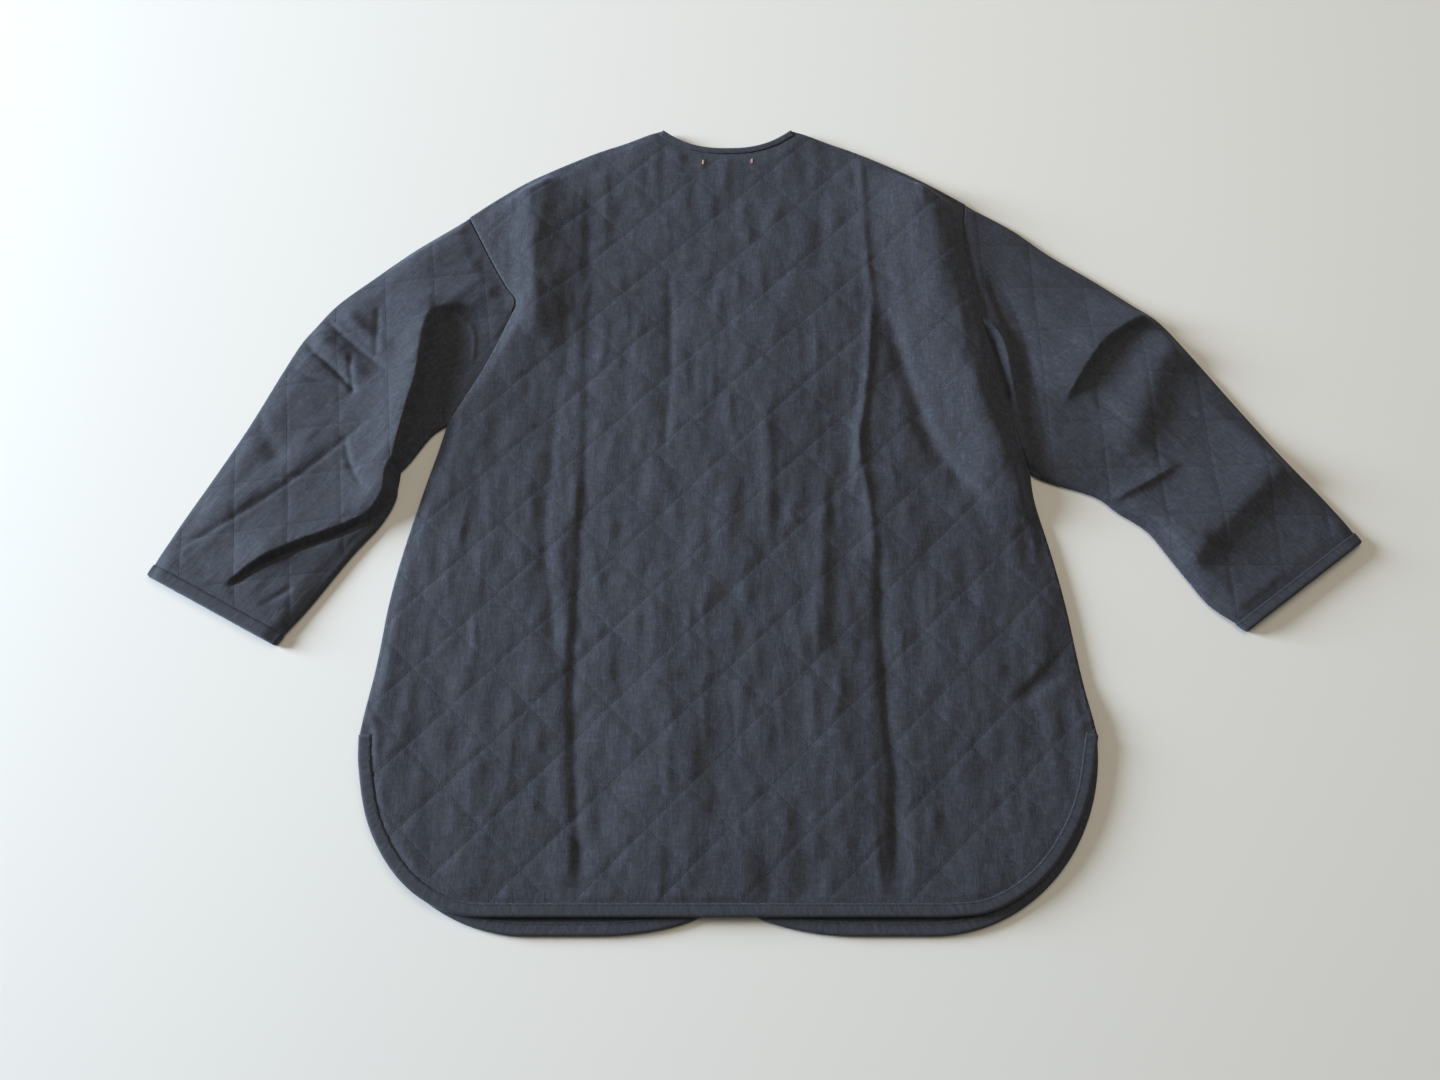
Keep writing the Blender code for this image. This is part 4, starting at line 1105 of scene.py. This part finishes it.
def edgeTape(name, path, side, underOf, width, seed, node):
    path = evenly(path, bindingSet["ringStep"])
    into = intoCloth(path, side)
    outside, inside = tapeProfile(width)
    middle = underOf(path) + cut["cloth"] / 2
    waves = wobble(len(path), bindingSet["ringStep"], seed)
    rings = []
    for point, way, level, wave in zip(path, into, middle, waves):
        swell = outside.copy()
        inFromFold = np.clip(outside[:, 0] / width, 0, 1)
        swell[:, 1] += np.sign(outside[:, 1]) * bindingSet["ripple"] * wave * inFromFold
        swell[:, 0] += 0.25 * wave * (outside[:, 0] > width * 0.7)
        swell[:, 1] = np.maximum(swell[:, 1], -level)
        both = np.vstack([swell, inside])
        rings.append(np.column_stack([point + both[:, :1] * way, level + both[:, 1]]))
    tape = sweptTape(name, rings, False, node)
    tapeGrain(tape, len(rings), len(rings[0]), bindingSet["ringStep"])
    sewn = evenly(path, bindingSet["stitchPitch"])
    ways = np.gradient(sewn, axis=0)
    spots = sewn + intoCloth(sewn, side) * (width - bindingSet["stitchIn"])
    lift = cut["cloth"] + cut["seamGap"] + bindingSet["sewn"] + bindingSet["stitchLift"]
    heights = underOf(sewn) + lift
    stitches = sewTape(name, toWorld(spots, heights), np.column_stack([ways, np.gradient(heights)]))
    return tape, stitches, lengthOf(path)


def cuffTape(hand, side):
    name = "cuffBinding" + hand.title()
    top, under = sleeves[hand]["top"], sleeves[hand]["under"]
    ends = np.array([under[-1], top[-1]])
    width = lengthOf(ends)
    across = (ends[1] - ends[0]) / width
    square = np.array([-across[1], across[0]])
    back = [path[-1] - (path[-1] - path[-2]) / np.linalg.norm(path[-1] - path[-2]) for path in (under, top)]
    square *= np.sign(square @ (back[0] - ends[0]))
    leans = [(b - c) / ((b - c) @ square) for b, c in zip(back, ends)]
    tip = cut["cloth"] + cut["mouth"] * sleeveSet["cuffTip"] / 2
    straight = np.linspace(tip, width - tip, 56)
    low = frontLift + cut["cloth"] / 2
    high = low + cut["cloth"] + mouthAt(np.minimum(straight, width - straight))
    half = (high[0] - low) / 2
    bend = np.radians(np.linspace(-75, 75, 7))
    loop = [(s, low) for s in straight]
    loop += [(width - tip + half * math.cos(a), low + half + half * math.sin(a)) for a in bend]
    loop += list(zip(straight[::-1], high[::-1]))
    loop += [(tip - half * math.cos(a), low + half - half * math.sin(a)) for a in bend]
    loop = np.array(loop)
    out = intoCloth(np.vstack([loop[-1:], loop, loop[:1]]), 1)[1:-1]
    outside, inside = tapeProfile(bindingSet["width"])
    profile = np.vstack([outside, inside])
    waves = wobble(len(loop), bindingSet["ringStep"], 5 + side)
    rings = []
    for (s, z), way, wave in zip(loop, out, waves):
        lean = leans[0] + (leans[1] - leans[0]) * s / width
        inFromFold = np.clip(profile[:, 0] / bindingSet["width"], 0, 1)
        up = profile[:, 1] + bindingSet["ripple"] * wave * (profile[:, 1] > 1.6) * inFromFold
        spots = ends[0] + across * (s + way[0] * up)[:, None] + lean * profile[:, :1]
        rings.append(np.column_stack([spots, np.maximum(z + way[1] * up, 0)]))
    tape = sweptTape(name, rings, True, "cuff_binding_" + hand)
    tapeGrain(tape, len(rings), len(rings[0]), bindingSet["ringStep"])
    steps = np.arange(tip, width - tip, bindingSet["stitchPitch"])
    deep = bindingSet["width"] - bindingSet["stitchIn"]
    lean = leans[0] + (leans[1] - leans[0]) * (steps / width)[:, None]
    spots = ends[0] + across * steps[:, None] + lean * deep
    level = low + cut["cloth"] + mouthAt(np.minimum(steps, width - steps))
    level = level + cut["cloth"] / 2 + cut["seamGap"] + bindingSet["sewn"] + bindingSet["stitchLift"]
    stitches = sewTape(name, toWorld(spots, level), np.tile([*across, 0.0], (len(spots), 1)))
    return tape, stitches, lengthOf(np.vstack([loop, loop[:1]]))


tapes = {
    "hem": edgeTape("backHemBinding", hemEdge, 1, backUnder, bindingSet["width"], 1, "back_hem_binding"),
    "neck": edgeTape("neckBinding", neckEdge, 1, backUnder, bindingSet["neckWidth"], 2, "neck_binding"),
}
for side, hand in hands:
    bound = fronts[hand]["bound"]
    tapes["front_" + hand] = edgeTape("front" + hand.title() + "Binding", bound, side, frontUnder(bound),
                                      bindingSet["width"], 3 + side, "front_" + hand + "_binding")
    tapes["cuff_" + hand] = cuffTape(hand, side)
print("bindings made")

# two small bar tacks below the neck
tackSet = {
    "places": ((-27, 823), (28, 825)), "height": 7.5, "strands": 4, "spacing": 0.5, "thread": 0.6,
    "stagger": 0.4, "way": (0.05, 1.0, 0.0), "lift": 0.2,
}
tackRows = []
for x, y in tackSet["places"]:
    for k in range(tackSet["strands"]):
        offset = (k - (tackSet["strands"] - 1) / 2) * tackSet["spacing"]
        tackRows.append((x + offset, y + tackSet["stagger"] * (k % 2)))
spots = onSurface(treeOf(backPanel), np.array(tackRows, float))[0] + (0, 0, tackSet["lift"] * mm)
ways = np.tile(tackSet["way"], (len(spots), 1))
barTacks = meshPiece("barTacks", *stitchRow(spots, ways, tackSet["height"], tackSet["thread"]))
finishPiece(barTacks, roseThread, "quilted_cotton")
print("bar tacks sewn")

# what each piece of cloth was cut to
square = mm * mm


def cutSize(outline):
    return tuple(float(v) * mm for v in np.ptp(outline, axis=0))


cutSize(backOutline)
for front in fronts.values():
    cutSize(front["outline"])
    areaOf(front["outline"]) * square
for sleeve in sleeves.values():  # all round the tube
    length, width = cutSize(sleeve["cut"])
    2 * areaOf(sleeve["cut"]) * square
for key, (tape, stitches, length) in tapes.items():
    width = bindingSet["neckWidth"] if key == "neck" else bindingSet["width"]

# floor
floorSet = {"size": 9.0, "height": -0.0003, "color": (0.590, 0.562, 0.522), "roughness": 0.75}
bpy.ops.object.select_all(action="DESELECT")
bpy.ops.mesh.primitive_plane_add(size=floorSet["size"], location=(0, 0, floorSet["height"]))
floor = bpy.context.object
floor.name = "floor"
paleFloor, _, floorShader = newMaterial("paleFloor")
floorShader.inputs["Base Color"].default_value = (*floorSet["color"], 1)
floorShader.inputs["Roughness"].default_value = floorSet["roughness"]
floor.data.materials.append(paleFloor)

bpy.context.view_layer.update()
